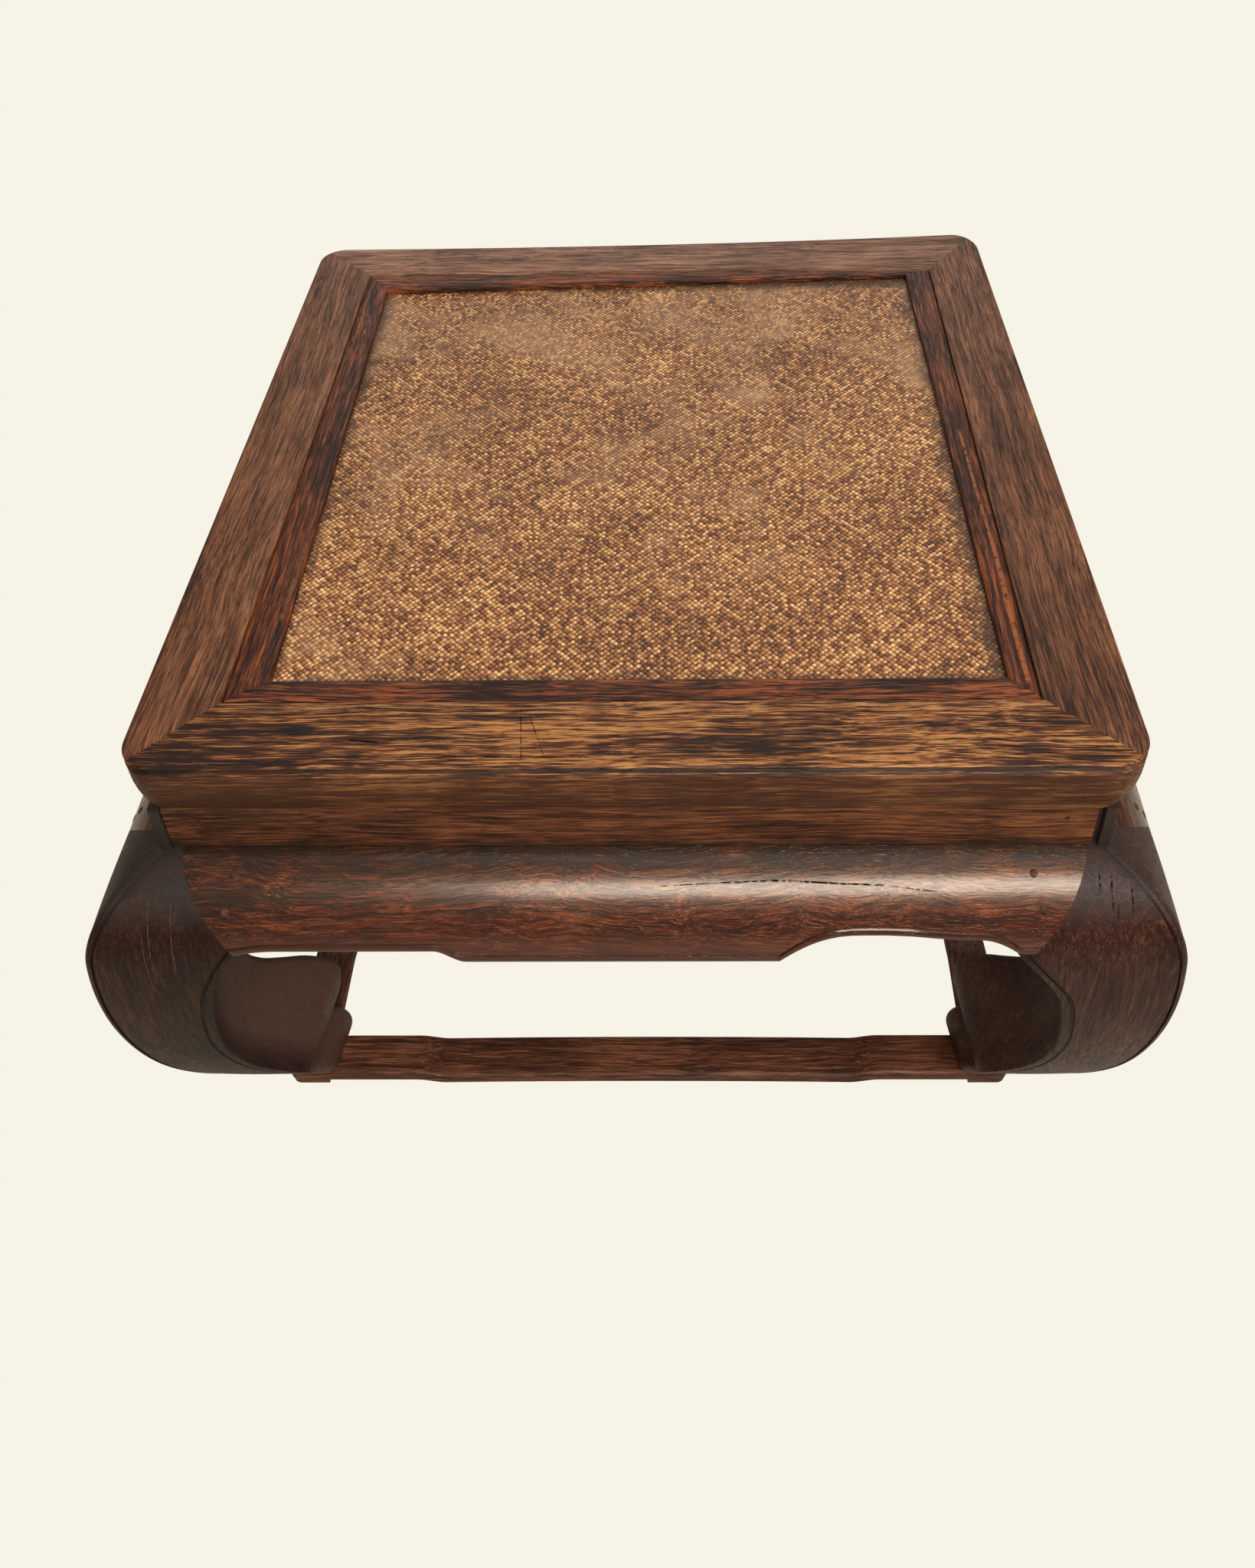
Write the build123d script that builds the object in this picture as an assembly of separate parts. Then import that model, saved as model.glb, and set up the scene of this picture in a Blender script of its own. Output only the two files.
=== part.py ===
from build123d import *
import os

# Square kang table: framed cane top, recessed waist, bulging aprons, drum legs and a floor frame.
#
# Millimetres, +Z up. The origin is the middle of the footprint, on the floor.
# The table is square, so each side piece is drawn once, at the front or at the
# front-left corner, and turned about the Z axis for the other three.

# ---- Driving dimensions ------------------------------------------------------------------
# Overall
TOP_SIDE = 600.0  # top frame, outside edge to outside edge
TOP_HEIGHT = 405.0  # floor to the top face

# Top frame
FRAME_THICKNESS = 48.0  # height of the moulded edge
FLAT_WIDTH = 50.5  # visible flat of each frame member
LEDGE_WIDTH = 25.0  # ledge inside the flat that carries the cane
CORNER_RADIUS = 22.0  # plan radius of the top frame's corners
EDGE_BEAD = 2.6  # height of the small bead at the top arris
EDGE_EASE = 0.9  # chamfers of that bead
EDGE_QUIRK = (3.6, 2.4)  # height and depth of the groove below that bead
EDGE_SETBACK = 0.4  # the face below the groove, behind the bead
EDGE_FLAT = 5.0  # upright part of that face; the rest curves in to the foot
EDGE_UNDERCUT = 7.5  # how far the edge moulding draws in at its foot
EDGE_FOOT = 4.0  # height of the square fillet at the foot of the moulding

# Cane mat and its cover strips
CANE_THICKNESS = 2.5
CANE_GAP = 1.0  # between the mat's edge and the frame
STRIP_WIDTH = 18.0
STRIP_THICKNESS = 4.6
STRIP_DROP = 0.6  # strips lie this much below the flats
STRIP_GAP = 0.6  # open line between a strip and the flat beside it
STRIP_EASE = 1.0  # chamfers of the strips' long edges

# Backing boards and battens under the cane
BOARD_COUNT = 3
BOARD_THICKNESS = 10.0
TONGUE_THICKNESS = 4.0
TONGUE_LENGTH = 6.0
BATTEN_WIDTH = 26.0
BATTEN_DEPTH = 20.0
BATTEN_EASE = 3.0  # chamfers along its underside
BATTEN_TENON = (10.0, 16.0, 12.0)  # length, width, height
BATTEN_TENON_RISE = 3.0
DOVETAIL_INSET = 4.0  # neck of the dovetail, in from the batten's sides
DOVETAIL_HEIGHT = 3.0
DOVETAIL_FLARE = 1.5

# Waist
WAIST_HEIGHT = 37.0
WAIST_INSET = 8.5  # waist face, in from the top frame's edge
WAIST_THICKNESS = 9.0
WAIST_LAP = 3.2  # thickness of the board where it covers the leg's stub
POST_PROUD = 1.5  # leg's corner post stands this far out of the waist
POST_WIDTH = 7.3  # visible width of that post
WAIST_JOINT = 0.5  # open line between a waist board and the post

# Aprons
APRON_DEPTH = 43.0  # from the waist down to the lower edge near the legs
APRON_DROP = 8.0  # the middle of the lower edge hangs this much lower
APRON_STEP_IN = 135.0  # middle of that drop, in from the mitre's foot
APRON_STEP_LENGTH = 20.0
APRON_TOP_WIDTH = 13.5  # thickness at the shoulder
APRON_FOOT_BACK = 12.0  # foot of the sloping back, out from the edge of the top

# Legs
STUB_WIDTH = 45.0  # square stub through the waist
MITRE_TOP_INSET = 21.0  # leg and apron mitre at the shoulder, in from the edge of the top
MITRE_FOOT_INSET = 53.0  # and at the apron's lower edge

# Carved edges
LIP_WIDTH = 4.2  # raised lip along the apron's lower edge and the leg's inner edge
LIP_GROOVE = 1.3  # groove beside the lip
LIP_DEPTH = 1.1

# Floor frame
BASE_INSET = 26.7  # outside edge of the floor frame, in from the edge of the top
BASE_WIDTH = 30.5
BASE_THICKNESS = 11.5
BASE_RISE = 4.0  # the rails stand this much higher at the corners
BASE_BOW = 1.8  # and this much higher in their middle
BASE_STEP_IN = 108.3  # middle of the step, in from the outside edge
BASE_STEP_LENGTH = 22.0
BASE_CORNER_RADIUS = 7.0
PAD_INSET = 0.8  # pads under the corners, in from the edges of the frame

# Joinery
FIT = 0.2  # clearance on the sides and end of a tenon
CORNER_TENON = (38.0, 24.0, 12.0)  # corner tenon of the top frame: length, width, thickness
CORNER_TENON_RISE = 18.0  # its underside above the frame's foot
LEG_TENON = (26.0, 9.0)  # tenon on top of the leg: side and height
FOOT_TENON = (14.0, 7.0)  # tenon under the foot: side and height
APRON_TONGUE = (30.0, 10.0, 18.0)  # tongue on each apron end: length, thickness, height
APRON_TONGUE_OUT = 14.0  # its outer face, out from the edge of the top
APRON_TONGUE_RISE = 9.0  # its underside above the apron's edge
APRON_TONGUE_ROOT = 8.0  # how far it starts inside the apron
FRAME_PEG = (6.5, 20.0)  # width and length of each kind of six-sided peg
WAIST_PEG = (3.6, 14.0)
APRON_PEG = (5.5, 12.0)
PEG_FIT = 0.1
PEG_PROUD = 0.3
PEG_START = 15.0  # cutters of the holes start this far in front of the face
FRAME_PEG_SINK = 2.6  # the moulded edge has drawn in this far at the frame's pegs
FRAME_PEG_AT = (30.0, 34.0)  # in from the edge of the top, and below the top face
WAIST_PEG_AT = (36.0, 11.0)  # in from the edge of the top, and below the top frame
APRON_PEGS_AT = ((54.0, 31.5), (51.5, 20.0), (55.5, 6.0))  # in from that edge, below the shoulder

# ---- Levels and lines that follow from them ----------------------------------------------
HALF = TOP_SIDE / 2
FRAME_FOOT = TOP_HEIGHT - FRAME_THICKNESS
SHOULDER = FRAME_FOOT - WAIST_HEIGHT
APRON_EDGE = SHOULDER - APRON_DEPTH
APRON_LOWEST = APRON_EDGE - APRON_DROP
FLAT_LINE = HALF - FLAT_WIDTH
LEDGE_LINE = FLAT_LINE - LEDGE_WIDTH
CANE_TOP = TOP_HEIGHT - STRIP_DROP - STRIP_THICKNESS
LEDGE_TOP = CANE_TOP - CANE_THICKNESS
BOARD_FOOT = LEDGE_TOP - BOARD_THICKNESS
TONGUE_FOOT = BOARD_FOOT + (BOARD_THICKNESS - TONGUE_THICKNESS) / 2
WAIST_FACE = HALF - WAIST_INSET
POST_FACE = WAIST_FACE + POST_PROUD
POST_EDGE = POST_FACE - POST_WIDTH
STUB_INNER = POST_FACE - STUB_WIDTH
STUB_MIDDLE = POST_FACE - STUB_WIDTH / 2
MITRE_TOP = HALF - MITRE_TOP_INSET
MITRE_FOOT = HALF - MITRE_FOOT_INSET
APRON_STEP_AT = MITRE_FOOT - APRON_STEP_IN
BATTEN_LINE = LEDGE_LINE / 2
BASE_HALF = HALF - BASE_INSET
BASE_STEP_AT = BASE_HALF - BASE_STEP_IN
BASE_INNER = BASE_HALF - BASE_WIDTH
BASE_TOP = BASE_THICKNESS + BASE_RISE
LEG_HEIGHT = SHOULDER - BASE_TOP
FAR = HALF + 80.0  # blanks run out to here, past the widest point
OVER = 5.0  # cutters run this far past what they cut

# Joints of the outer line of leg and apron, foot to shoulder: share of the leg's height, and
# how far the line stands out from the edge of the top. It leaves the floor frame straight,
# fills out to a belly and turns in sharply at the shoulder.
OUTER_LINE = (
    (0.0, -BASE_INSET),
    (0.211, 7.7),
    (0.442, 33.3),
    (0.815, 39.6),
    (0.949, 20.4),
    (1.0, POST_FACE - HALF),
)
# The same for the leg's inner line, from the apron's edge down: share of the height, and
# distance in from the edge of the top. It hollows out below the apron, sweeps in along the
# foot and rolls round the toe.
INNER_LINE = (
    ((APRON_EDGE - BASE_TOP) / LEG_HEIGHT, MITRE_FOOT_INSET),
    (0.664, 31.9),
    (0.377, 49.7),
    (0.296, 63.9),
    (0.0, 50.2),
)


def height_at(share):
    """Height above the floor of a share of the leg."""
    return BASE_TOP + share * LEG_HEIGHT


def box(x0, x1, y0, y1, z0, z1):
    """Block between two corners."""
    return Pos((x0 + x1) / 2, (y0 + y1) / 2, (z0 + z1) / 2) * Box(x1 - x0, y1 - y0, z1 - z0)


def turned(shape, quarter_turns):
    """A front piece turned to another side of the square."""
    return Rot(0, 0, 90 * quarter_turns) * shape


def swapped(shape):
    """A piece of the front mirrored to the left side, about the corner's diagonal."""
    return mirror(shape, about=Plane(origin=(0, 0, 0), z_dir=(1, -1, 0)))


def prism_x(edges, x0=-FAR, x1=FAR):
    """A closed Y-Z section extruded along the front."""
    return Pos(x0, 0, 0) * extrude(make_face(edges), amount=x1 - x0, dir=(1, 0, 0))


def prism_y(edges, y0=-FAR, y1=0.0):
    """A closed front elevation, drawn at Y = 0, extruded from front to back."""
    return Pos(0, y0, 0) * extrude(make_face(edges), amount=y1 - y0, dir=(0, 1, 0))


def smooth_chain(points):
    """A line between the first two points, then arcs that run on smoothly through the rest."""
    chain = [Line(points[0], points[1])]
    for start, end in zip(points[1:], points[2:]):
        chain.append(TangentArc(start, end, tangent=chain[-1] % 1))
    return chain


def step(start, end):
    """Smooth step between two level lines of the front elevation: two equal arcs."""
    middle = ((start[0] + end[0]) / 2, 0, (start[2] + end[2]) / 2)
    first = TangentArc(start, middle, tangent=(1, 0, 0))
    return [first, TangentArc(middle, end, tangent=first % 1)]


def alongside(chain, distance):
    """Lines and arcs of the front elevation moved square to themselves, to the right of their run."""
    moved = []
    for edge in chain:
        spots = []
        for share in (0.0, 0.5, 1.0):
            spot = edge @ share
            run = edge % share
            spots.append((spot.X + distance * run.Z, 0, spot.Z - distance * run.X))
        if edge.geom_type == GeomType.LINE:
            moved.append(Line(spots[0], spots[2]))
        else:
            moved.append(ThreePointArc(*spots))
    return moved


def band(chain, near, far):
    """Closed strip of the front elevation, between two distances from a chain."""
    low = alongside(chain, near)
    high = alongside(chain, far)
    return low + high + [Line(low[0] @ 0, high[0] @ 0), Line(low[-1] @ 1, high[-1] @ 1)]


def mitre_wedge(z0, z1):
    """Everything that belongs to the front, between the two diagonals."""
    plan = Polyline((0, 0), (-FAR, -FAR), (FAR, -FAR), close=True)
    return Pos(0, 0, z0) * extrude(make_face(plan), amount=z1 - z0)


def spindle(width, plane, length):
    """Six-sided rod that starts on a plane, by its width across the corners."""
    return extrude(plane * RegularPolygon(width / 2, 6), amount=length)


def peg_spots(at, level):
    """X and Z of a pair of pegs, from their distances to the top's edge and below a level."""
    inward, below = at
    return [(side * (HALF - inward), level - below) for side in (-1, 1)]


def peg_holes(size, at, level, face):
    """Holes for a pair of pegs driven in from the front face, left and right."""
    return peg_pair((size[0] + 2 * PEG_FIT, size[1]), at, level, face, PEG_START)


def peg_pair(size, at, level, face, proud=PEG_PROUD):
    """Pair of pegs that end on the floors of their holes and stand a hair proud."""
    width, length = size
    starts = [Plane(origin=(x, face - proud, z), z_dir=(0, 1, 0)) for x, z in peg_spots(at, level)]
    return [spindle(width, start, proud + length) for start in starts]


# ---- Top frame ---------------------------------------------------------------------------
def edge_section():
    """Section of the moulded rim, out to the corner's centre line."""
    inner = -HALF + CORNER_RADIUS
    quirk_height, quirk_depth = EDGE_QUIRK
    quirk_top = TOP_HEIGHT - EDGE_BEAD
    quirk_foot = quirk_top - quirk_height
    quirk_floor = (0, -HALF + quirk_depth, quirk_top - quirk_height / 2)
    fillet_top = FRAME_FOOT + EDGE_FOOT
    foot = -HALF + EDGE_UNDERCUT
    shoulder = quirk_foot - EDGE_FLAT
    face = Line((0, -HALF + EDGE_SETBACK, quirk_foot), (0, -HALF + EDGE_SETBACK, shoulder))
    return [
        Line((0, inner, FRAME_FOOT), (0, inner, TOP_HEIGHT)),
        Line((0, inner, TOP_HEIGHT), (0, -HALF + EDGE_EASE, TOP_HEIGHT)),
        Line((0, -HALF + EDGE_EASE, TOP_HEIGHT), (0, -HALF, TOP_HEIGHT - EDGE_EASE)),
        Line((0, -HALF, TOP_HEIGHT - EDGE_EASE), (0, -HALF, quirk_top + EDGE_EASE)),
        Line((0, -HALF, quirk_top + EDGE_EASE), quirk_floor),
        Line(quirk_floor, (0, -HALF + EDGE_SETBACK, quirk_foot)),
        face,
        TangentArc(face @ 1, (0, foot, fillet_top), tangent=face % 1),
        Line((0, foot, fillet_top), (0, foot, FRAME_FOOT)),
        Line((0, foot, FRAME_FOOT), (0, inner, FRAME_FOOT)),
    ]


def corner_tenon(grow=0.0):
    """Tenon that runs from a front member into the left member."""
    length, width, thickness = CORNER_TENON
    middle = (HALF + FLAT_LINE) / 2
    z0 = FRAME_FOOT + CORNER_TENON_RISE
    return box(
        -middle - length / 2 - grow,
        -middle + length / 2 + grow,
        -middle - width / 2 - grow,
        -middle + width / 2 + grow,
        z0,
        z0 + thickness + grow,
    )


def leg_mortises():
    """Pockets in the top frame for the tenons on the legs."""
    side, height = LEG_TENON
    half = side / 2 + FIT
    pocket = box(-half, half, -half, half, FRAME_FOOT - OVER, FRAME_FOOT + height + FIT)
    return [Pos(x, y, 0) * pocket for x in (-STUB_MIDDLE, STUB_MIDDLE) for y in (-STUB_MIDDLE, STUB_MIDDLE)]


def frame_blank():
    """Moulded rim with rounded corners, rebated for the cane and grooved for the boards."""
    core = HALF - CORNER_RADIUS
    rim = prism_x(edge_section(), -core, core)
    corner = Pos(-core, 0, 0) * revolve(make_face(edge_section()), Axis((0, -core, 0), (0, 0, 1)), -90)
    blank = box(-core, core, -core, core, FRAME_FOOT, TOP_HEIGHT)
    for side in range(4):
        blank += turned(rim, side)
        blank += turned(corner, side)
    groove = LEDGE_LINE + TONGUE_LENGTH + FIT
    blank -= box(-FLAT_LINE, FLAT_LINE, -FLAT_LINE, FLAT_LINE, LEDGE_TOP, TOP_HEIGHT + OVER)
    blank -= box(-LEDGE_LINE, LEDGE_LINE, -LEDGE_LINE, LEDGE_LINE, FRAME_FOOT - OVER, TOP_HEIGHT + OVER)
    blank -= box(-groove, groove, -groove, groove, TONGUE_FOOT, TONGUE_FOOT + TONGUE_THICKNESS + FIT)
    for pocket in leg_mortises():
        blank -= pocket
    return blank


def frame_pegs(pair):
    """Pegs, or their holes, at both ends of the front member."""
    return pair(FRAME_PEG, FRAME_PEG_AT, TOP_HEIGHT, -HALF + FRAME_PEG_SINK)


def batten_mortises():
    """Pockets in the front member for the ends of the battens."""
    length, width, height = BATTEN_TENON
    z0 = BOARD_FOOT - BATTEN_DEPTH + BATTEN_TENON_RISE
    pockets = []
    for x in (-BATTEN_LINE, BATTEN_LINE):
        half = width / 2 + FIT
        pockets.append(box(x - half, x + half, -LEDGE_LINE - length - FIT, -LEDGE_LINE + OVER, z0, z0 + height + FIT))
    return pockets


def long_member(blank):
    """Front member: its corner tenons reach into the side members."""
    member = blank & mitre_wedge(FRAME_FOOT - OVER, TOP_HEIGHT + OVER)
    tenon = corner_tenon()
    member += tenon
    member += mirror(tenon, about=Plane.YZ)
    for cut in batten_mortises() + frame_pegs(peg_holes):
        member -= cut
    return member


def side_member(blank):
    """Side member, drawn at the front: mortised for the corner tenons."""
    member = blank & mitre_wedge(FRAME_FOOT - OVER, TOP_HEIGHT + OVER)
    mortise = swapped(corner_tenon(FIT))
    member -= mortise
    member -= mirror(mortise, about=Plane.YZ)
    for cut in frame_pegs(peg_holes):
        member -= cut
    return member


# ---- Cane, strips, boards and battens ----------------------------------------------------
def cane_mat():
    """Woven mat, drawn as one sheet on the ledge and the boards."""
    half = FLAT_LINE - CANE_GAP
    return box(-half, half, -half, half, LEDGE_TOP, CANE_TOP)


def cover_strip():
    """Front strip: mitred, with both long edges eased."""
    y0 = -FLAT_LINE + STRIP_GAP
    bar = box(-HALF, HALF, y0, y0 + STRIP_WIDTH, CANE_TOP, CANE_TOP + STRIP_THICKNESS)
    bar = chamfer(bar.edges().filter_by(Axis.X).group_by(Axis.Z)[-1], STRIP_EASE)
    return bar & mitre_wedge(CANE_TOP - OVER, TOP_HEIGHT)


def dovetail(x, grow=0.0):
    """Sliding dovetail on top of a batten, or its channel in the boards."""
    half = BATTEN_WIDTH / 2 - DOVETAIL_INSET
    z1 = BOARD_FOOT + DOVETAIL_HEIGHT
    outline = Polyline(
        (x - half - grow, 0, BOARD_FOOT),
        (x - half - DOVETAIL_FLARE - grow, 0, z1 + grow),
        (x + half + DOVETAIL_FLARE + grow, 0, z1 + grow),
        (x + half + grow, 0, BOARD_FOOT),
        close=True,
    )
    return prism_y(outline, -FAR, FAR)


def backing_board(index):
    """One of the boards under the mat, tongued into the frame."""
    half = LEDGE_LINE - FIT
    width = 2 * half / BOARD_COUNT
    y0 = -half + index * width
    y1 = y0 + width
    board = box(-half, half, y0, y1, BOARD_FOOT, LEDGE_TOP)
    t0 = y0 - TONGUE_LENGTH * (index == 0)
    t1 = y1 + TONGUE_LENGTH * (index == BOARD_COUNT - 1)
    reach = half + TONGUE_LENGTH
    board += box(-reach, reach, t0, t1, TONGUE_FOOT, TONGUE_FOOT + TONGUE_THICKNESS)
    for x in (-BATTEN_LINE, BATTEN_LINE):
        board -= dovetail(x, FIT)
    return board


def batten(x):
    """Batten across the boards, dovetailed into them and tenoned into front and back."""
    length, width, height = BATTEN_TENON
    half = LEDGE_LINE - FIT
    z0 = BOARD_FOOT - BATTEN_DEPTH
    bar = box(x - BATTEN_WIDTH / 2, x + BATTEN_WIDTH / 2, -half, half, z0, BOARD_FOOT)
    bar = chamfer(bar.edges().filter_by(Axis.Y).group_by(Axis.Z)[0], BATTEN_EASE)
    bar += dovetail(x) & box(x - BATTEN_WIDTH, x + BATTEN_WIDTH, -half, half, z0, LEDGE_TOP)
    reach = LEDGE_LINE + length
    z1 = z0 + BATTEN_TENON_RISE
    bar += box(x - width / 2, x + width / 2, -reach, reach, z1, z1 + height)
    return bar


# ---- Waist, aprons and legs --------------------------------------------------------------
def waist_board():
    """Front waist board, thinned at its ends where it covers the stubs."""
    end = POST_EDGE - WAIST_JOINT
    lap = STUB_INNER - FIT
    board = box(-lap, lap, -WAIST_FACE, -WAIST_FACE + WAIST_THICKNESS, SHOULDER, FRAME_FOOT)
    board += box(-end, end, -WAIST_FACE, -WAIST_FACE + WAIST_LAP, SHOULDER, FRAME_FOOT)
    for cut in waist_pegs(peg_holes):
        board -= cut
    return board


def waist_pegs(pair):
    """Pegs, or their holes, that pin the front waist board to the stubs."""
    return pair(WAIST_PEG, WAIST_PEG_AT, FRAME_FOOT, -WAIST_FACE)


def outer_section():
    """Outer line of leg and apron at the front, foot to shoulder, as a Y-Z section."""
    return smooth_chain([(0, -HALF - out, height_at(share)) for share, out in OUTER_LINE])


def outer_body(inset=0.0):
    """Everything behind the outer line of the front, down to the foot."""
    section = outer_section() + [
        Line((0, -POST_FACE, SHOULDER), (0, 0, SHOULDER)),
        Line((0, 0, SHOULDER), (0, 0, BASE_TOP)),
        Line((0, 0, BASE_TOP), (0, -BASE_HALF, BASE_TOP)),
    ]
    return Pos(0, inset, 0) * prism_x(section)


def apron_slab():
    """Front apron's section, run out to both sides."""
    foot = APRON_LOWEST - OVER
    back_foot = -HALF - APRON_FOOT_BACK
    section = [
        Line((0, -POST_FACE + APRON_TOP_WIDTH, SHOULDER), (0, back_foot, foot)),
        Line((0, back_foot, foot), (0, -FAR, foot)),
        Line((0, -FAR, foot), (0, -FAR, SHOULDER)),
        Line((0, -FAR, SHOULDER), (0, -POST_FACE + APRON_TOP_WIDTH, SHOULDER)),
    ]
    return prism_x(section)


def lower_edge(end):
    """Lower edge of the front apron, left to right: a drop in the middle between two steps."""
    near = APRON_STEP_AT - APRON_STEP_LENGTH / 2
    far = APRON_STEP_AT + APRON_STEP_LENGTH / 2
    down = step((-far, 0, APRON_EDGE), (-near, 0, APRON_LOWEST))
    up = step((near, 0, APRON_LOWEST), (far, 0, APRON_EDGE))
    return [
        Line((-end, 0, APRON_EDGE), (-far, 0, APRON_EDGE)),
        *down,
        Line((-near, 0, APRON_LOWEST), (near, 0, APRON_LOWEST)),
        *up,
        Line((far, 0, APRON_EDGE), (end, 0, APRON_EDGE)),
    ]


def apron_elevation():
    """Front elevation of the apron, between the mitres."""
    return lower_edge(MITRE_FOOT) + [
        Line((MITRE_FOOT, 0, APRON_EDGE), (MITRE_TOP, 0, SHOULDER)),
        Line((MITRE_TOP, 0, SHOULDER), (-MITRE_TOP, 0, SHOULDER)),
        Line((-MITRE_TOP, 0, SHOULDER), (-MITRE_FOOT, 0, APRON_EDGE)),
    ]


def lip_groove_on_apron():
    """Cutter for the groove above the apron's lip."""
    edge = lower_edge(MITRE_TOP)
    return prism_y(band(edge, -LIP_WIDTH, -LIP_WIDTH - LIP_GROOVE)) - outer_body(LIP_DEPTH)


def apron_tongues(grow=0.0):
    """Tongues on both ends of the front apron."""
    length, thickness, height = APRON_TONGUE
    y0 = -HALF - APRON_TONGUE_OUT
    z0 = APRON_EDGE + APRON_TONGUE_RISE
    tongue = box(
        -MITRE_FOOT - length - grow,
        -MITRE_FOOT + APRON_TONGUE_ROOT,
        y0 - grow,
        y0 + thickness + grow,
        z0,
        z0 + height + grow,
    )
    return [tongue, mirror(tongue, about=Plane.YZ)]


def face_plane(x, height):
    """Plane on the bulging face of the front, looking straight into the wood."""
    line = Wire(outer_section())
    low, high = 0.0, 1.0
    for halving in range(30):
        middle = (low + high) / 2
        if (line @ middle).Z < height:
            low = middle
        else:
            high = middle
    spot, run = line @ low, line % low
    return Plane(origin=(x, spot.Y, spot.Z), x_dir=(1, 0, 0), z_dir=(0, run.Z, -run.Y))


def apron_pegs(grow=0.0, proud=PEG_PROUD):
    """Pegs in both ends of the front apron, or their holes, square to its bulging face."""
    width, length = APRON_PEG
    faces = [face_plane(x, z) for at in APRON_PEGS_AT for x, z in peg_spots(at, SHOULDER)]
    return [spindle(width + 2 * grow, face.offset(-proud), proud + length) for face in faces]


def apron():
    """Front apron: bulging face, stepped lower edge with a lip, mitred to the legs."""
    piece = outer_body() & apron_slab() & prism_y(apron_elevation())
    piece -= lip_groove_on_apron()
    for tongue in apron_tongues():
        piece += tongue
    for hole in apron_pegs(PEG_FIT, PEG_START):
        piece -= hole
    return piece


def inner_elevation(over=0.0):
    """Inner line of the front-left leg, from the apron's edge or a little over it, downwards."""
    points = [Vector(-HALF + inward, 0, height_at(share)) for share, inward in INNER_LINE]
    points[0] += (points[0] - points[1]).normalized() * over
    return smooth_chain(points)


def leg_elevation():
    """Front elevation of the front-left leg, stub left out."""
    line = inner_elevation()
    return line + [
        Line(line[-1] @ 1, (-FAR, 0, BASE_TOP)),
        Line((-FAR, 0, BASE_TOP), (-FAR, 0, SHOULDER)),
        Line((-FAR, 0, SHOULDER), (-STUB_INNER, 0, SHOULDER)),
        Line((-STUB_INNER, 0, SHOULDER), line[0] @ 0),
    ]


def leg_body():
    """Front-left leg: what the front and the side outlines have in common."""
    front = outer_body() & prism_y(leg_elevation())
    return front & swapped(front)


def lip_groove_on_leg():
    """Cutter for the groove on the leg's front, beside its inner lip."""
    line = inner_elevation(over=2 * LIP_WIDTH)
    return prism_y(band(line, LIP_WIDTH, LIP_WIDTH + LIP_GROOVE)) - outer_body(LIP_DEPTH)


def stub():
    """Square stub above the shoulder with its corner post, and the tenon on top."""
    core = box(-POST_FACE, -STUB_INNER, -POST_FACE, -STUB_INNER, SHOULDER, FRAME_FOOT)
    rebate = box(-POST_EDGE, FAR, -FAR, -WAIST_FACE + WAIST_LAP, SHOULDER, FRAME_FOOT)
    core -= rebate
    core -= swapped(rebate)
    side, height = LEG_TENON
    half = side / 2
    tenon = box(-half, half, -half, half, FRAME_FOOT, FRAME_FOOT + height)
    return core + Pos(-STUB_MIDDLE, -STUB_MIDDLE, 0) * tenon


def leg():
    """Front-left drum leg with its carved edges, stub and tenons."""
    body = leg_body()
    groove = lip_groove_on_leg()
    body -= groove
    body -= swapped(groove)
    seat = apron_slab() & prism_y(apron_elevation())
    mortise = apron_tongues(FIT)[0]
    for cut in (seat, mortise):
        body -= cut
        body -= swapped(cut)
    body += stub()
    for hole in waist_pegs(peg_holes):
        body -= hole
        body -= swapped(hole)
    side, height = FOOT_TENON
    centre = (BASE_HALF + BASE_INNER) / 2
    half = side / 2
    body += Pos(-centre, -centre, 0) * box(-half, half, -half, half, BASE_TOP - height, BASE_TOP)
    return body


# ---- Floor frame -------------------------------------------------------------------------
def rail_line(lift):
    """Lower line of the front rail: raised at the corners, stepped down, bowed in the middle."""
    near = BASE_STEP_AT - BASE_STEP_LENGTH / 2
    far = BASE_STEP_AT + BASE_STEP_LENGTH / 2
    high = BASE_RISE + lift
    return [
        Line((-BASE_HALF, 0, high), (-far, 0, high)),
        *step((-far, 0, high), (-near, 0, lift)),
        ThreePointArc((-near, 0, lift), (0, 0, lift + BASE_BOW), (near, 0, lift)),
        *step((near, 0, lift), (far, 0, high)),
        Line((far, 0, high), (BASE_HALF, 0, high)),
    ]


def floor_rail():
    """Front rail of the floor frame, mitred and mortised for the feet."""
    low = rail_line(0.0)
    high = rail_line(BASE_THICKNESS)
    sides = [Line(low[0] @ 0, high[0] @ 0), Line(low[-1] @ 1, high[-1] @ 1)]
    rail = prism_y(low + high + sides, -BASE_HALF, -BASE_INNER)
    rounded = RectangleRounded(2 * BASE_HALF, 2 * BASE_HALF, BASE_CORNER_RADIUS)
    rail &= extrude(rounded, amount=BASE_TOP)
    rail &= mitre_wedge(-OVER, BASE_TOP + OVER)
    side, height = FOOT_TENON
    half = side / 2 + FIT
    for x in (-(BASE_HALF + BASE_INNER) / 2, (BASE_HALF + BASE_INNER) / 2):
        pocket = box(-half, half, -half, half, BASE_TOP - height - FIT, BASE_TOP + OVER)
        rail -= Pos(x, -(BASE_HALF + BASE_INNER) / 2, 0) * pocket
    return rail


def corner_pad():
    """Pad under the front-left corner of the floor frame."""
    side = 2 * (BASE_HALF - PAD_INSET)
    rounded = RectangleRounded(side, side, BASE_CORNER_RADIUS)
    inner = -BASE_INNER - PAD_INSET
    return extrude(rounded, amount=BASE_RISE) & box(-FAR, inner, -FAR, inner, 0, BASE_RISE)


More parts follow.
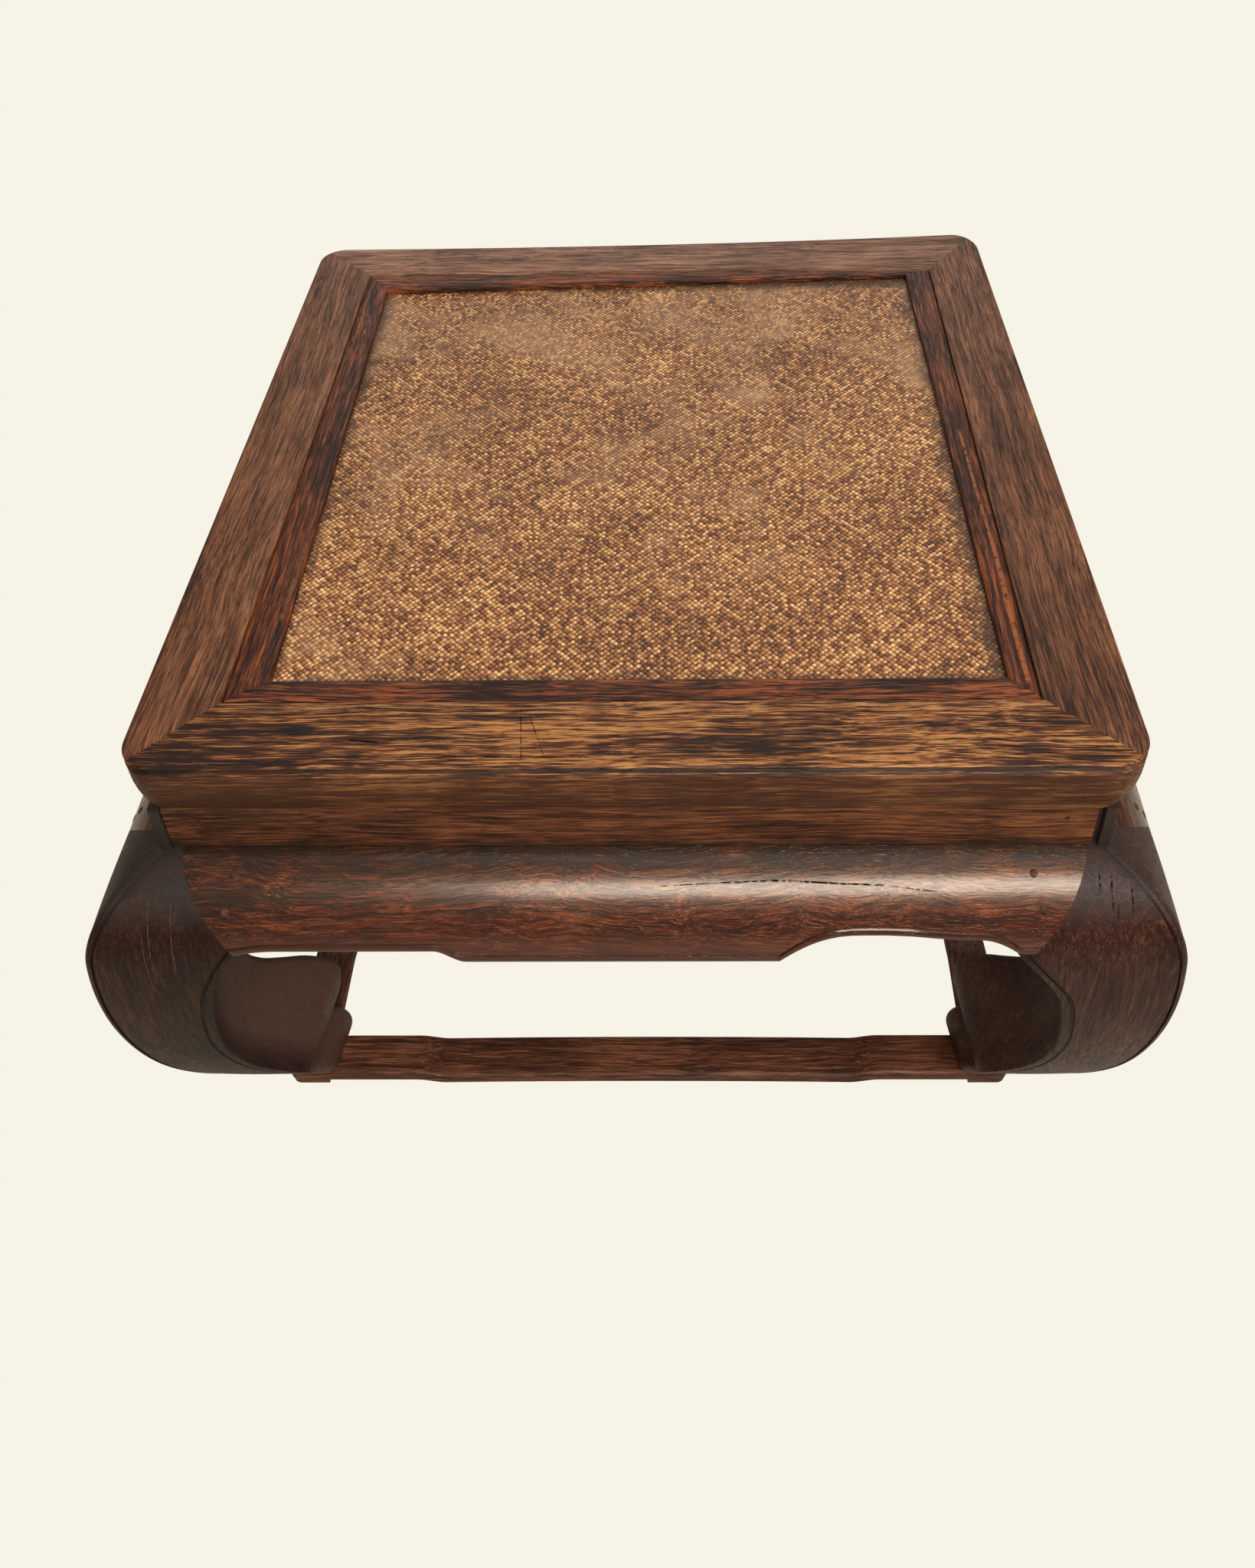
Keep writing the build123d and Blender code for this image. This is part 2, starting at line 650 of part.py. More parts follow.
# ---- The whole table ---------------------------------------------------------------------
SIDES = ("front", "right", "back", "left")
CORNERS = ("front_left", "front_right", "back_right", "back_left")


def all_round(shapes):
    """Solids of the front repeated on the four sides, as one group."""
    solids = []
    for side in range(4):
        for shape in shapes:
            solids += turned(shape, side).solids()
    return Compound(children=solids)


def table():
    """Every node of the table by name."""
    blank = frame_blank()
    members = (long_member(blank), side_member(blank))
    strip = cover_strip()
    waist = waist_board()
    front_apron = apron()
    rail = floor_rail()
    front_left_leg = leg()
    pad = corner_pad()
    nodes = {}
    for side, name in enumerate(SIDES):
        nodes["top_frame_" + name] = turned(members[side % 2], side)
        nodes["cover_strip_" + name] = turned(strip, side)
        nodes["waist_" + name] = turned(waist, side)
        nodes["apron_" + name] = turned(front_apron, side)
        nodes["floor_rail_" + name] = turned(rail, side)
    for corner, name in enumerate(CORNERS):
        nodes["leg_" + name] = turned(front_left_leg, corner)
        nodes["floor_pad_" + name] = turned(pad, corner)
    nodes["cane_mat"] = cane_mat()
    for index, name in enumerate(("front", "middle", "back")):
        nodes["backing_board_" + name] = backing_board(index)
    nodes["batten_left"] = batten(-BATTEN_LINE)
    nodes["batten_right"] = batten(BATTEN_LINE)
    nodes["frame_pegs"] = all_round(frame_pegs(peg_pair))
    nodes["waist_pegs"] = all_round(waist_pegs(peg_pair))
    nodes["apron_pegs"] = all_round(apron_pegs())
    return nodes


if __name__ == "__main__":
    os.makedirs("parts", exist_ok=True)
    for name, shape in table().items():
        export_step(shape, "parts/%s.step" % name)
        print(name, len(shape.solids()), round(shape.volume))
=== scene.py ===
"""Looks of the square kang table: worn dark lacquer over elm, and a woven cane top.

Shapes are worked out in millimetres and made in metres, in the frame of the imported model. The
table is square, so each side piece is shaped at the front or at the front-left corner and turned
about Z.
"""
import math
import random

import bmesh
import bpy
from mathutils import Matrix, Vector


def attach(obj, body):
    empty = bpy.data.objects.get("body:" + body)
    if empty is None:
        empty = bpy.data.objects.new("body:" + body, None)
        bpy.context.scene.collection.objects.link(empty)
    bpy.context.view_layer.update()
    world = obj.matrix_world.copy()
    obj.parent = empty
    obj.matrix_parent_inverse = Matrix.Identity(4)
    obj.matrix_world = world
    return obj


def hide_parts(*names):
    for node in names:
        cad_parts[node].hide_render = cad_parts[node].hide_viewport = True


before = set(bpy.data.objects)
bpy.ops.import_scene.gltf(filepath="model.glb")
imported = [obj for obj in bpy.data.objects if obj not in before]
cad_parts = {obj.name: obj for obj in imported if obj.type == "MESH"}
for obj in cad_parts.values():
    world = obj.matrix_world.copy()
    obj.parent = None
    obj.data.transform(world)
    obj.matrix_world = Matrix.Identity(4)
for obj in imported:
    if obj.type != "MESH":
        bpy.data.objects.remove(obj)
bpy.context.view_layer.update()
scene = bpy.context.scene

SIDES = ("front", "right", "back", "left")
CORNERS = ("front_left", "front_right", "back_right", "back_left")
MM = 0.001
Y, Z = 1, 2


def cad(name, axis, end):
    """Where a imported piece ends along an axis, to a tenth of a millimetre."""
    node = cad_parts[name]
    return round(end((node.matrix_world @ v.co)[axis] for v in node.data.vertices) / MM, 1)


# ---- Sizes, in millimetres -----------------------------------------------------------------
HALF = -cad("top_frame_front", Y, min)  # half the top frame
TOP = cad("top_frame_front", Z, max)
FRAME_FOOT = cad("top_frame_front", Z, min)
SHOULDER = cad("waist_front", Z, min)
APRON_LOWEST = cad("apron_front", Z, min)
CANE_TOP = cad("cane_mat", Z, max)
LEDGE = cad("cane_mat", Z, min)  # the cane lies on a ledge inside the frame
BASE_HALF = -cad("floor_rail_front", Y, min)
BASE_TOP = cad("floor_rail_front", Z, max)
WAIST_FACE = -cad("waist_front", Y, min)
WAIST_BACK = -cad("waist_front", Y, max)
APRON_BACK = -cad("apron_front", Y, max)
STRIP_OUTER = -cad("cover_strip_front", Y, min)
STRIP_INNER = -cad("cover_strip_front", Y, max)
FLAT_LINE = HALF - 50.5  # inner edge of the top's flats
CORNER_RADIUS = 22.0  # of the top frame, seen from above
POST_FACE = HALF - 7.0  # each leg's square stub shows at the corner of the waist as a narrow post
POST_EDGE = POST_FACE - 7.3
STUB_INNER = POST_FACE - 45.0
LAP_FACE = WAIST_FACE - 3.2  # the waist boards are thin where they cover the stubs
APRON_EDGE = APRON_LOWEST + 8.0
MITRE_TOP = HALF - 21.0
MITRE_FOOT = HALF - 53.0
MITRE_LOW = APRON_EDGE - 3.0  # height of the apron's edge where it dips into the leg
APRON_LEAN = (56.0, 32.5)  # the apron's back comes forward by the second in a fall of the first
STEP_AT, STEP_LENGTH = 112.0, 20.0  # the step in the apron's edge
DIP = (220.0, 24.8)  # start and length of the dip into each leg
# The right of the front apron's edge is cut higher and falls in an arch: where it starts, and how
# much it rises and falls over which stretches.
CUT_FROM = 60.0
CUT_RISE, CUT_STRETCH, CUT_BEND = 17.8, (90.0, 50.0), 2.4
ARCH_FALL, ARCH_FROM, ARCH_TO = 3.0, 155.0, 205.0
ARCH_END_FALL, ARCH_END = 9.8, (211.0, 25.0)
GROOVE = 1.1  # depth of the groove beside a lip
CORNER_BEAD = 4.4  # radius of the round bar down each leg's corner
RIDGE_ROUND = 5.0  # the leg's inner ridge is rounded over, seen from above
BUN_ROUND = 9.0  # and so are the edges of the bun under the foot
TOE = 56.0  # below this height the foot is a plain bun, without a lip
CALF = 110.0  # below this height the leg is cut into closer levels
CANE_PITCH, CANE_WIDTH = 3.0, 2.75
CANE_SUNK, CANE_SWING, CANE_SAG = 0.35, 0.3, 0.42  # below the mat's top, up and down, and at its edges
STRAND_TONE, CELL_TONE, STRAND_LEAN = 0.08, 0.36, 0.2  # most that chance adds to each
MAT_SIDE = 497.0
MAT_REACH = 233.0  # the strands end here, under the strips
BACK_EDGE, BACK_SLOPE = 235.0, 0.0395  # line of the cane under the back strip, which tapers
FULLER, FULLER_FROM = 10.0, 222.0  # the right leg's front reaches this far in, from this height up
SIDE_OUT, SIDE_TURN = 2.4, -0.0125  # the top's right side stands out, less towards the back
BACK_OUT, BACK_BEND, BACK_IN = 17.5, 2.5, 4.7  # its back draws in at the left and stands out at the right
FACE_SWELL = 0.5  # of a leg's face between its bead and its lip
LIP_GROWTH, LIP_GROWS = 0.4, (262.0, 225.0)  # a leg's lip widens between these heights
DISH, DISH_FOOT, DISH_HEAD = 1.6, (60.0, 90.0), (215.0, 170.0)  # hollow of a leg's inner faces

# Inner edges of the cover strips, front, right, back and left: distance from the middle at their
# halfway point, and its change along them.
STRIP_EDGES = ((230.9, 0.0), (229.8, -0.009), (233.5, -0.0395), (227.0, -0.014))

# Half width and height: outside of the legs and aprons, a straight and then arcs.
OUTER = ((273.3, 15.5), (307.7, 79.7), (333.3, 150.1), (339.6, 263.7), (320.4, 304.5), (293.0, 320.0))
# Height and half width: inside of the legs at their front edge, from the foot to the apron. The
# foot rests on a bun; above it the nose of the foot curls in, and the leg hollows out.
INNER = (
    (15.5, 236.0),
    (22.0, 234.5),
    (32.0, 235.5),
    (42.0, 239.5),
    (49.0, 244.0),
    (57.0, 244.0),
    (66.0, 239.5),
    (77.0, 237.0),
    (90.0, 239.0),
    (104.0, 249.0),
    (125.0, 261.5),
    (148.0, 269.0),
    (175.0, 272.5),
    (203.0, 270.5),
    (235.0, 264.5),
    (258.0, 255.5),
    (274.0, 244.8),
)
# The same along the ridge where the two inner faces of the leg meet.
RIDGE = (
    (15.5, 232.0),
    (22.0, 230.5),
    (32.0, 231.5),
    (42.0, 235.0),
    (49.0, 239.5),
    (57.0, 239.5),
    (66.0, 234.0),
    (80.0, 230.0),
    (95.0, 230.0),
    (108.0, 234.5),
    (125.0, 243.5),
    (139.0, 253.5),
    (155.0, 264.0),
    (175.0, 271.5),
    (203.0, 273.0),
    (235.0, 266.0),
    (258.0, 257.0),
    (274.0, 249.0),
)
# Reach in from the corner bead and depth: the groove beside it.
CORNER_GROOVE = ((0.35, 1.2), (1.3, 1.2), (1.7, 0.1))
# Reach from the edge and depth: groove and lip of the legs, and of the aprons.
LEG_LIP = ((6.0, 0.0), (5.4, GROOVE), (4.6, GROOVE), (4.0, 0.0), (1.4, 0.0), (0.4, 0.5), (0.0, 1.4))
APRON_LIP = ((5.4, GROOVE), (4.6, GROOVE), (4.1, 0.0), (2.6, -0.25), (1.3, 0.0), (0.35, 0.5), (0.0, 1.5))
# Places along half an apron where it is cut, closer together where its edge bends. The front apron
# bends elsewhere on its right.
APRON_CUTS = (30, 60, 85, 98, 102, 104.5, 107, 109.5, 112, 114.5, 117, 119.5, 122, 126, 145, 175, 205, 220,
              227, 233, 238, 242)
WORN_CUTS = (30, 60, 80, 88, 90, 92, 94, 97, 100, 104, 108, 112, 116, 120, 126, 133, 140, 155, 170, 185, 200,
             208, 212, 216, 219, 222, 225, 228, 231, 233.5, 236, 239, 242)
APRON_END = 290.0
# Depth in from the edge and height: the top frame, from its ledge over the flat and down the moulding.
FRAME_PROFILE = (
    (50.5, LEDGE), (50.5, 404.0), (50.2, 404.6), (49.4, TOP), (38.0, TOP), (24.0, TOP), (10.0, TOP),
    (2.0, TOP), (0.9, 404.8), (0.25, 404.2), (0.2, 403.7), (0.9, 403.2), (2.3, 402.6), (3.0, 401.3),
    (2.9, 399.9), (1.7, 399.1), (0.6, 398.7), (0.1, 398.1), (0.1, 397.5), (0.8, 397.1), (0.9, 396.6),
    (0.4, 396.2), (0.3, 394.0), (0.3, 390.0), (0.5, 384.0), (1.3, 377.0), (2.8, 370.0), (4.9, 364.0),
    (6.2, 361.6), (6.9, 361.0), (7.3, 360.2), (7.5, 359.0), (7.5, FRAME_FOOT), (75.5, FRAME_FOOT),
    (75.5, LEDGE),
)
# Distance from the middle and height: the cover strips.
STRIP_PROFILE = (
    (STRIP_OUTER, CANE_TOP), (STRIP_OUTER, 403.0), (248.5, 404.0), (247.5, 404.4), (244.0, 404.5),
    (240.0, 404.5), (235.0, 404.4), (232.4, 404.1), (231.3, 403.4), (STRIP_INNER, 402.3),
    (STRIP_INNER, CANE_TOP),
)
STRIP_WAVES = ((0.12, 31.0, 0.0), (0.1, 12.7, 1.3))  # height, length and start of its unevenness
# Depth in from the edge and height: the floor rails, and the places along them where they are cut.
RAIL_PROFILE = (
    (0.0, 3.0), (0.0, 9.0), (0.5, 10.5), (1.8, 11.4), (4.0, 11.5), (15.0, 11.5), (28.5, 11.5), (30.0, 11.1),
    (30.5, 10.0), (30.5, 1.2), (29.6, 0.3), (28.0, 0.0), (3.0, 0.0), (1.0, 0.5), (0.2, 1.5),
)
RAIL_CUTS = (40, 80, 115, 140, 150, 155, 158, 161, 164, 167, 170, 173, 177, 190, 215, 240)
RAIL_CORNER = 7.0
RAIL_RISE, RAIL_BOW = 4.0, 1.8  # the rails stand higher at the corners, and a little in their middle
RAIL_STEP = (154.0, 22.0)  # start and length of the step up to the corners
# Distance from the middle, height and radius of the pegs, and the moulded face that the frame's are in.
FRAME_PEG, FRAME_PEG_RADIUS = (270.0, 371.0), 3.1
WAIST_PEG, WAIST_PEG_RADIUS = (264.0, 346.0), 1.7
APRON_PEGS, APRON_PEG_RADIUS = ((246.0, 288.5), (248.5, 300.0), (244.5, 314.0)), 2.5
MOULDING_AT_PEG, MOULDING_LEAN = 297.4, 0.24


def arc_line(points):
    """Half width at a height, along a straight and then arcs that run on smoothly."""
    trace = list(points[:2])
    run = math.atan2(points[1][1] - points[0][1], points[1][0] - points[0][0])
    steps = 40
    for (a, b), (c, d) in zip(points[1:], points[2:]):
        chord, lean = math.hypot(c - a, d - b), math.atan2(d - b, c - a)
        bend = 2 * (lean - run)
        for n in range(1, steps + 1):
            part = bend * n / steps
            reach = chord * math.sin(part / 2) / math.sin(bend / 2)
            trace.append((a + reach * math.cos(run + part / 2), b + reach * math.sin(run + part / 2)))
        run += bend

    def value(height):
        for (a, b), (c, d) in zip(trace, trace[1:]):
            if height <= d:
                return a + (c - a) * (height - b) / (d - b)
        return trace[-1][0]

    return value


def curve_through(points):
    """Smooth curve through a few points: returns the function value(height)."""
    heights = [p[0] for p in points]
    values = [p[1] for p in points]
    last = len(points) - 1

    def climb(a, b):
        return (values[b] - values[a]) / (heights[b] - heights[a])

    slopes = [climb(max(i - 1, 0), min(i + 1, last)) for i in range(len(points))]
    # both ends keep on bending
    slopes[0] = 1.6 * climb(0, 1) - 0.6 * slopes[1]
    slopes[last] = 1.6 * climb(last - 1, last) - 0.6 * slopes[last - 1]

    def value(height):
        i = 0
        while i < last - 1 and height > heights[i + 1]:
            i += 1
        run = heights[i + 1] - heights[i]
        t = (height - heights[i]) / run
        if t > 1:
            return values[last] + slopes[last] * (height - heights[last])
        return (
            (2 * t**3 - 3 * t**2 + 1) * values[i]
            + (t**3 - 2 * t**2 + t) * run * slopes[i]
            + (3 * t**2 - 2 * t**3) * values[i + 1]
            + (t**3 - t**2) * run * slopes[i + 1]
        )

    return value


outer = arc_line(OUTER)
inner = curve_through(INNER)
ridge = curve_through(RIDGE)


def share_of(start, length, value):
    """How much of a stretch lies behind a value, from 0 to 1."""
    return min(max((value - start) / length, 0.0), 1.0)


def ease(low, high, value):
    """Runs smoothly from 0 to 1 between two values."""
    t = share_of(low, high - low, value)
    return t * t * (3 - 2 * t)


def steepness(line, height):
    """How much wider a band looks on a level cut through a leaning face."""
    lean = line(height + 0.5) - line(height - 0.5)
    steepest = 1.6
    return math.sqrt(1 + min(abs(lean), steepest) ** 2)


# ---- Making pieces -------------------------------------------------------------------------
def loft(sections):
    """Closed solid through a run of sections with equal numbers of points."""
    bm = bmesh.new()
    face = bm.faces.new([bm.verts.new(Vector(p) * MM) for p in sections[0]])
    for number, section in enumerate(sections[1:]):
        made = bmesh.ops.extrude_face_region(bm, geom=[face])
        end = [g for g in made["geom"] if isinstance(g, bmesh.types.BMFace)][0]
        if number:
            bmesh.ops.delete(bm, geom=[face], context="FACES_ONLY")
        face = end
        for vert, point in zip(face.verts, section):
            vert.co = Vector(point) * MM
    bmesh.ops.remove_doubles(bm, verts=bm.verts[:], dist=0.00002)
    bmesh.ops.recalc_face_normals(bm, faces=bm.faces[:])
    return bm


def piece(name, bm, material, stands_for, angle=35.0):
    """Finished piece from a bmesh: smooth where it bends gently, sharp at its corners."""
    for edge in bm.edges:
        if len(edge.link_faces) == 2 and edge.calc_face_angle(0.0) > math.radians(angle):
            edge.smooth = False
    for face in bm.faces:
        face.smooth = True
    mesh = bpy.data.meshes.new(name)
    bm.to_mesh(mesh)
    bm.free()
    thing = bpy.data.objects.new(name, mesh)
    scene.collection.objects.link(thing)
    mesh.materials.append(material)
    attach(thing, "root")
    if stands_for:
        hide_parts(*stands_for)


def turned(bm, quarter_turns):
    """A copy of a front piece, turned to another side of the table."""
    copy = bm.copy()
    turn = Matrix.Rotation(math.pi / 2 * quarter_turns, 3, "Z")
    bmesh.ops.rotate(copy, verts=copy.verts[:], cent=(0, 0, 0), matrix=turn)
    return copy


def marked_soil_and_light(bm, amount):
    """Marks how dark each point is made: 1 in grooves, less on lips, below 0 where painted light makes it
    paler.
    """
    soil_and_light = bm.verts.layers.float.new("soil_and_light")
    for vert in bm.verts:
        vert[soil_and_light] = amount(*(vert.co / MM))
    return bm


def merged(parts):
    """One bmesh out of several."""
    whole = bmesh.new()
    for part in parts:
        extra = bpy.data.meshes.new("part")
        part.to_mesh(extra)
        part.free()
        whole.from_mesh(extra)
        bpy.data.meshes.remove(extra)
    return whole


def all_round(bm):
    """A front piece repeated on the four sides."""
    return merged([turned(bm, n) for n in (1, 2, 3)] + [bm])


# ---- Legs and aprons -----------------------------------------------------------------------
def mitre_at(height):
    """Where the joint between apron and leg crosses the front at a height."""
    return MITRE_FOOT + (MITRE_TOP - MITRE_FOOT) * (height - APRON_EDGE) / (SHOULDER - APRON_EDGE)


def apron_back(height):
    """Where the sloping back of the apron lies at a height."""
    fall, forward = APRON_LEAN
    return APRON_BACK + (SHOULDER - height) / fall * forward


def leg_half(height, fuller):
    """Half of a level cut through the front-left leg, from its beaded corner to its inner ridge."""
    o, k = outer(height), ridge(height)
    i = inner(height) - fuller * ease(FULLER_FROM, MITRE_LOW, height)
    below = height <= MITRE_LOW
    edge = i if below else mitre_at(height)
    bead = o - CORNER_BEAD
    half = []
    for angle in (45, 58, 72, 90):
        a = math.radians(angle)
        half.append((bead + CORNER_BEAD * math.cos(a), bead + CORNER_BEAD * math.sin(a)))
    wide = steepness(outer, height)
    for reach, drop in CORNER_GROOVE:
        half.append((bead - reach * wide, o - drop))
    # the lip widens down the leg, and ends where the bun begins
    broad = (1 + LIP_GROWTH * ease(*LIP_GROWS, height)) * steepness(inner, height)
    bun = ease(TOE, TOE - 8.0, height)
    # the face swells a little between the bead and the lip
    start = half[-1][0]
    stop = max(i + 6.2 * broad, edge + 0.4)
    for share in (0.2, 0.4, 0.6, 0.8):
        half.append((start + (stop - start) * share, o + FACE_SWELL * math.sin(math.pi * share)))
    for reach, drop in LEG_LIP:
        x = i + reach * broad
        lip = drop if x > edge or reach < 1 else 0.0
        away = min(reach * broad, BUN_ROUND)
        round_drop = BUN_ROUND - math.sqrt(BUN_ROUND**2 - (BUN_ROUND - away) ** 2)
        half.append((max(x, edge + 0.06 * reach), o - lip * (1 - bun) - round_drop * bun))
    if below:
        r = RIDGE_ROUND
        front = half[-1][1]
        dish = DISH * ease(*DISH_FOOT, height) * ease(*DISH_HEAD, height)
        for share in (0.3, 0.65):
            half.append((i + (k - i) * share + dish, front - (front - k - r) * share))
        half.append((k, k + r))
        half += [(k + r - r * math.cos(a), k + r - r * math.sin(a)) for a in (0.26, 0.52)]
        middle = k + 0.293 * r  # halfway round
        half.append((middle, middle))
    else:
        # behind the apron the leg is a square post, with as many points as its lower part
        half += [(edge, apron_back(height)), (STUB_INNER, apron_back(height))]
        half += [(STUB_INNER, y) for y in (262.0, 256.0, 252.0, STUB_INNER)]
    return half


def leg_section(height, fuller):
    """Level cut through the front-left leg; its left face can reach further in under the apron."""
    half = leg_half(height, 0.0)
    other = [(y, x) for x, y in reversed(leg_half(height, fuller)[1:-1])]
    return [(-x, -y, height) for x, y in half + other]


def leg_soil_and_light(x, y, z, painted_light):
    """Dirt in the leg's grooves, a little on its lips; its inner faces and the bun under the foot are made
    paler with painted light.
    """
    if z > SHOULDER - 0.5:
        return 0.5
    far, near = max(abs(x), abs(y)), min(abs(x), abs(y))
    depth = outer(z) - far
    if 0.9 < depth < 1.3 and z > TOE:
        return 1.0
    if z < TOE - 6.0 or depth > 3.0:
        return -painted_light
    return 0.45 if depth < 2.0 and near - inner(z) < 6.0 else 0.0


def levels(low, high, count):
    """Even heights from one up to the last before another."""
    return [low + (high - low) * n / count for n in range(count)]


def leg_shape(fuller, painted_light):
    """Front-left leg, foot to shoulder, with the square stub above it."""
    heights = levels(BASE_TOP, CALF, 44) + levels(CALF, MITRE_LOW, 46) + [MITRE_LOW]
    heights += [275.2, 276.4, 277.6, 279.0, 281.8, 284.0]
    heights += levels(286.0, SHOULDER, 26) + [SHOULDER]
    bm = loft([leg_section(h, fuller) for h in heights])
    a, b, c, d = -POST_FACE, -POST_EDGE, -LAP_FACE, -STUB_INNER
    plan = [(a, a), (b, a), (b, c), (d, c), (d, d), (c, d), (c, b), (a, b)]
    stub = loft([[(x, y, h) for x, y in plan] for h in (SHOULDER, FRAME_FOOT)])
    # the upright corners of the post that shows are eased
    width, reach = 9.0 * MM, -285.0 * MM
    keep = []
    for edge in stub.edges:
        lower, upper = [v.co for v in edge.verts]
        upright = abs(lower.z - upper.z) > 10.0 * MM
        if upright and abs(lower.x - lower.y) < width and lower.x < reach:
            keep.append(edge)
    how = {"offset_type": "OFFSET", "segments": 2, "profile": 0.5, "affect": "EDGES", "material": -1}
    bmesh.ops.bevel(stub, geom=keep, offset=0.9 * MM, **how)
    return marked_soil_and_light(merged([bm, stub]), lambda x, y, z: leg_soil_and_light(x, y, z, painted_light))


def lower_edge(x, worn):
    """Height of the apron's lower edge: a drop in the middle, and a dip into each leg.

    On the right of the front apron it is cut higher, and arches down into the leg.
    """
    if worn and x > CUT_FROM:
        rise = CUT_RISE * (1 - (1 - share_of(*CUT_STRETCH, x)) ** CUT_BEND)
        arch = ARCH_FALL * ease(ARCH_FROM, ARCH_TO, x) + ARCH_END_FALL * share_of(*ARCH_END, x) ** 2
        return APRON_LOWEST + rise - arch
    drop = ease(STEP_AT + STEP_LENGTH / 2, STEP_AT - STEP_LENGTH / 2, abs(x))
    dip = share_of(*DIP, abs(x)) ** 2
    return APRON_EDGE + (APRON_LOWEST - APRON_EDGE) * drop - (APRON_EDGE - MITRE_LOW) * dip


def apron_section(x, worn):
    """Upright cut through the front apron: bulging face, groove and lip, bottom and back."""
    foot = lower_edge(x, worn)
    points = []
    rows, lip_top = 20, 5.9
    for n in range(rows + 1):
        h = SHOULDER + (foot + lip_top - SHOULDER) * (n / rows) ** 1.25
        points.append((outer(h), h))
    points += [(outer(foot + rise) - sunk, foot + rise) for rise, sunk in APRON_LIP]
    back = apron_back(foot)
    points += [(back + 1.0, foot), (back, foot + 0.8), (APRON_BACK, SHOULDER)]
    section = []
    for y, h in points:
        limit = mitre_at(max(h, MITRE_LOW))
        section.append((max(-limit, min(limit, x)), -y, h))
    return section


def apron_soil(rise):
    """Dirt on the apron's lip and in the groove above it, by the height above its edge."""
    return 1.0 if 4.3 < rise < 5.6 else 0.8 if rise < 5.0 else 0.0


def apron_shape(worn=False):
    """Front apron between its mitres."""
    right = WORN_CUTS if worn else APRON_CUTS
    cuts = [-APRON_END] + [-x for x in reversed(APRON_CUTS)] + [0] + list(right) + [APRON_END]
    bm = loft([apron_section(x, worn) for x in cuts])
    return marked_soil_and_light(bm, lambda x, y, z: apron_soil(z - lower_edge(x, worn)))


# ---- Top, waist and floor frame ------------------------------------------------------------
def rounded_corner(half, radius, depth, height, side, turn):
    """A point of a bar's profile at its rounded, mitred end, by the turn in the corner."""
    if depth >= radius:
        return (side * (half - depth), depth - half, height)
    r, straight = radius - depth, half - radius
    return (side * (straight + r * math.sin(turn)), -(straight + r * math.cos(turn)), height)


def moulding_groove_dark(x, y, z):
    """Darker in the groove of the moulded edge."""
    depth = HALF - max(abs(x), abs(y))
    return 1.0 if 1.5 < depth < 3.2 and 399.0 < z < 402.8 else 0.0


def member_shape():
    """Front member of the top frame with its moulded edge."""
    straight = HALF - CORNER_RADIUS
    turns = [math.radians(7.5 * n) for n in range(1, 7)]

    def corner(side, turn):
        return [rounded_corner(HALF, CORNER_RADIUS, d, h, side, turn) for d, h in FRAME_PROFILE]

    stations = [corner(-1, turn) for turn in reversed(turns)]
    for share in [n / 12 - 1 for n in range(25)]:
        stations.append([(share * min(straight, HALF - d), d - HALF, h) for d, h in FRAME_PROFILE])
    stations += [corner(1, turn) for turn in turns]
    return marked_soil_and_light(loft(stations), moulding_groove_dark)


def out_of_square(bm):
    """The top is not quite square: it stands out at the front of the right side, and most at the
    right end of the back."""
    for vert in bm.verts:
        x, y = vert.co.x / MM, vert.co.y / MM
        right = max(0.0, (x - FLAT_LINE) / (HALF - FLAT_LINE))
        back = max(0.0, (y - FLAT_LINE) / (HALF - FLAT_LINE))
        vert.co.x += right * (SIDE_OUT + SIDE_TURN * y) * MM
        vert.co.y += back * (BACK_OUT * share_of(-HALF, 2 * HALF, x) ** BACK_BEND - BACK_IN) * MM
    return bm


def waist_shape(left_gap, right_gap):
    """Front waist board with eased edges, thin where it covers the posts."""
    y, top_ease, foot_ease = -WAIST_FACE, 0.6, 1.0
    face = [(y, SHOULDER + foot_ease), (y, 340.0), (y, FRAME_FOOT - top_ease), (y + top_ease, FRAME_FOOT)]
    left, right, lap_end = -POST_EDGE + left_gap, POST_EDGE - right_gap, STUB_INNER + 0.2
    thin, thick = -LAP_FACE, -WAIST_BACK
    step = 0.02
    cuts = [(left, thin), (-lap_end, thin), (step - lap_end, thick)]
    cuts += [(lap_end - step, thick), (lap_end, thin), (right, thin)]
    sections = []
    for x, rear in cuts:
        ring = face + [(rear, FRAME_FOOT), (rear, SHOULDER), (y + foot_ease, SHOULDER)]
        sections.append([(x, y, z) for y, z in ring])
    return loft(sections)


def peg_ends(radius, spots, face, slope):
    """Round pegs driven into the front: each face is square to the wood, with an eased rim."""
    pegs = []
    sides, depth, proud, rim = 18, 6.0, 0.3, 0.3
    angles = [2 * math.pi * n / sides for n in range(sides)]
    for x, z in spots:
        out = Vector((0, -1, -slope(z))).normalized()
        up = Vector((0, -out.z, out.y)) * -1
        centre = Vector((x, face(z), z))
        rings = []
        for level, r in ((-depth, radius), (proud / 2, radius), (proud, radius - rim)):
            at = centre + out * level
            rings.append([at + Vector((r * math.cos(a), 0, 0)) + up * (r * math.sin(a)) for a in angles])
        pegs.append(loft(rings))
    return merged(pegs)


def strip_inner(n, along):
    """How far the inner edge of a cover strip lies from the middle: no two are equally wide."""
    base, slope = STRIP_EDGES[n % 4]
    return base + slope * along


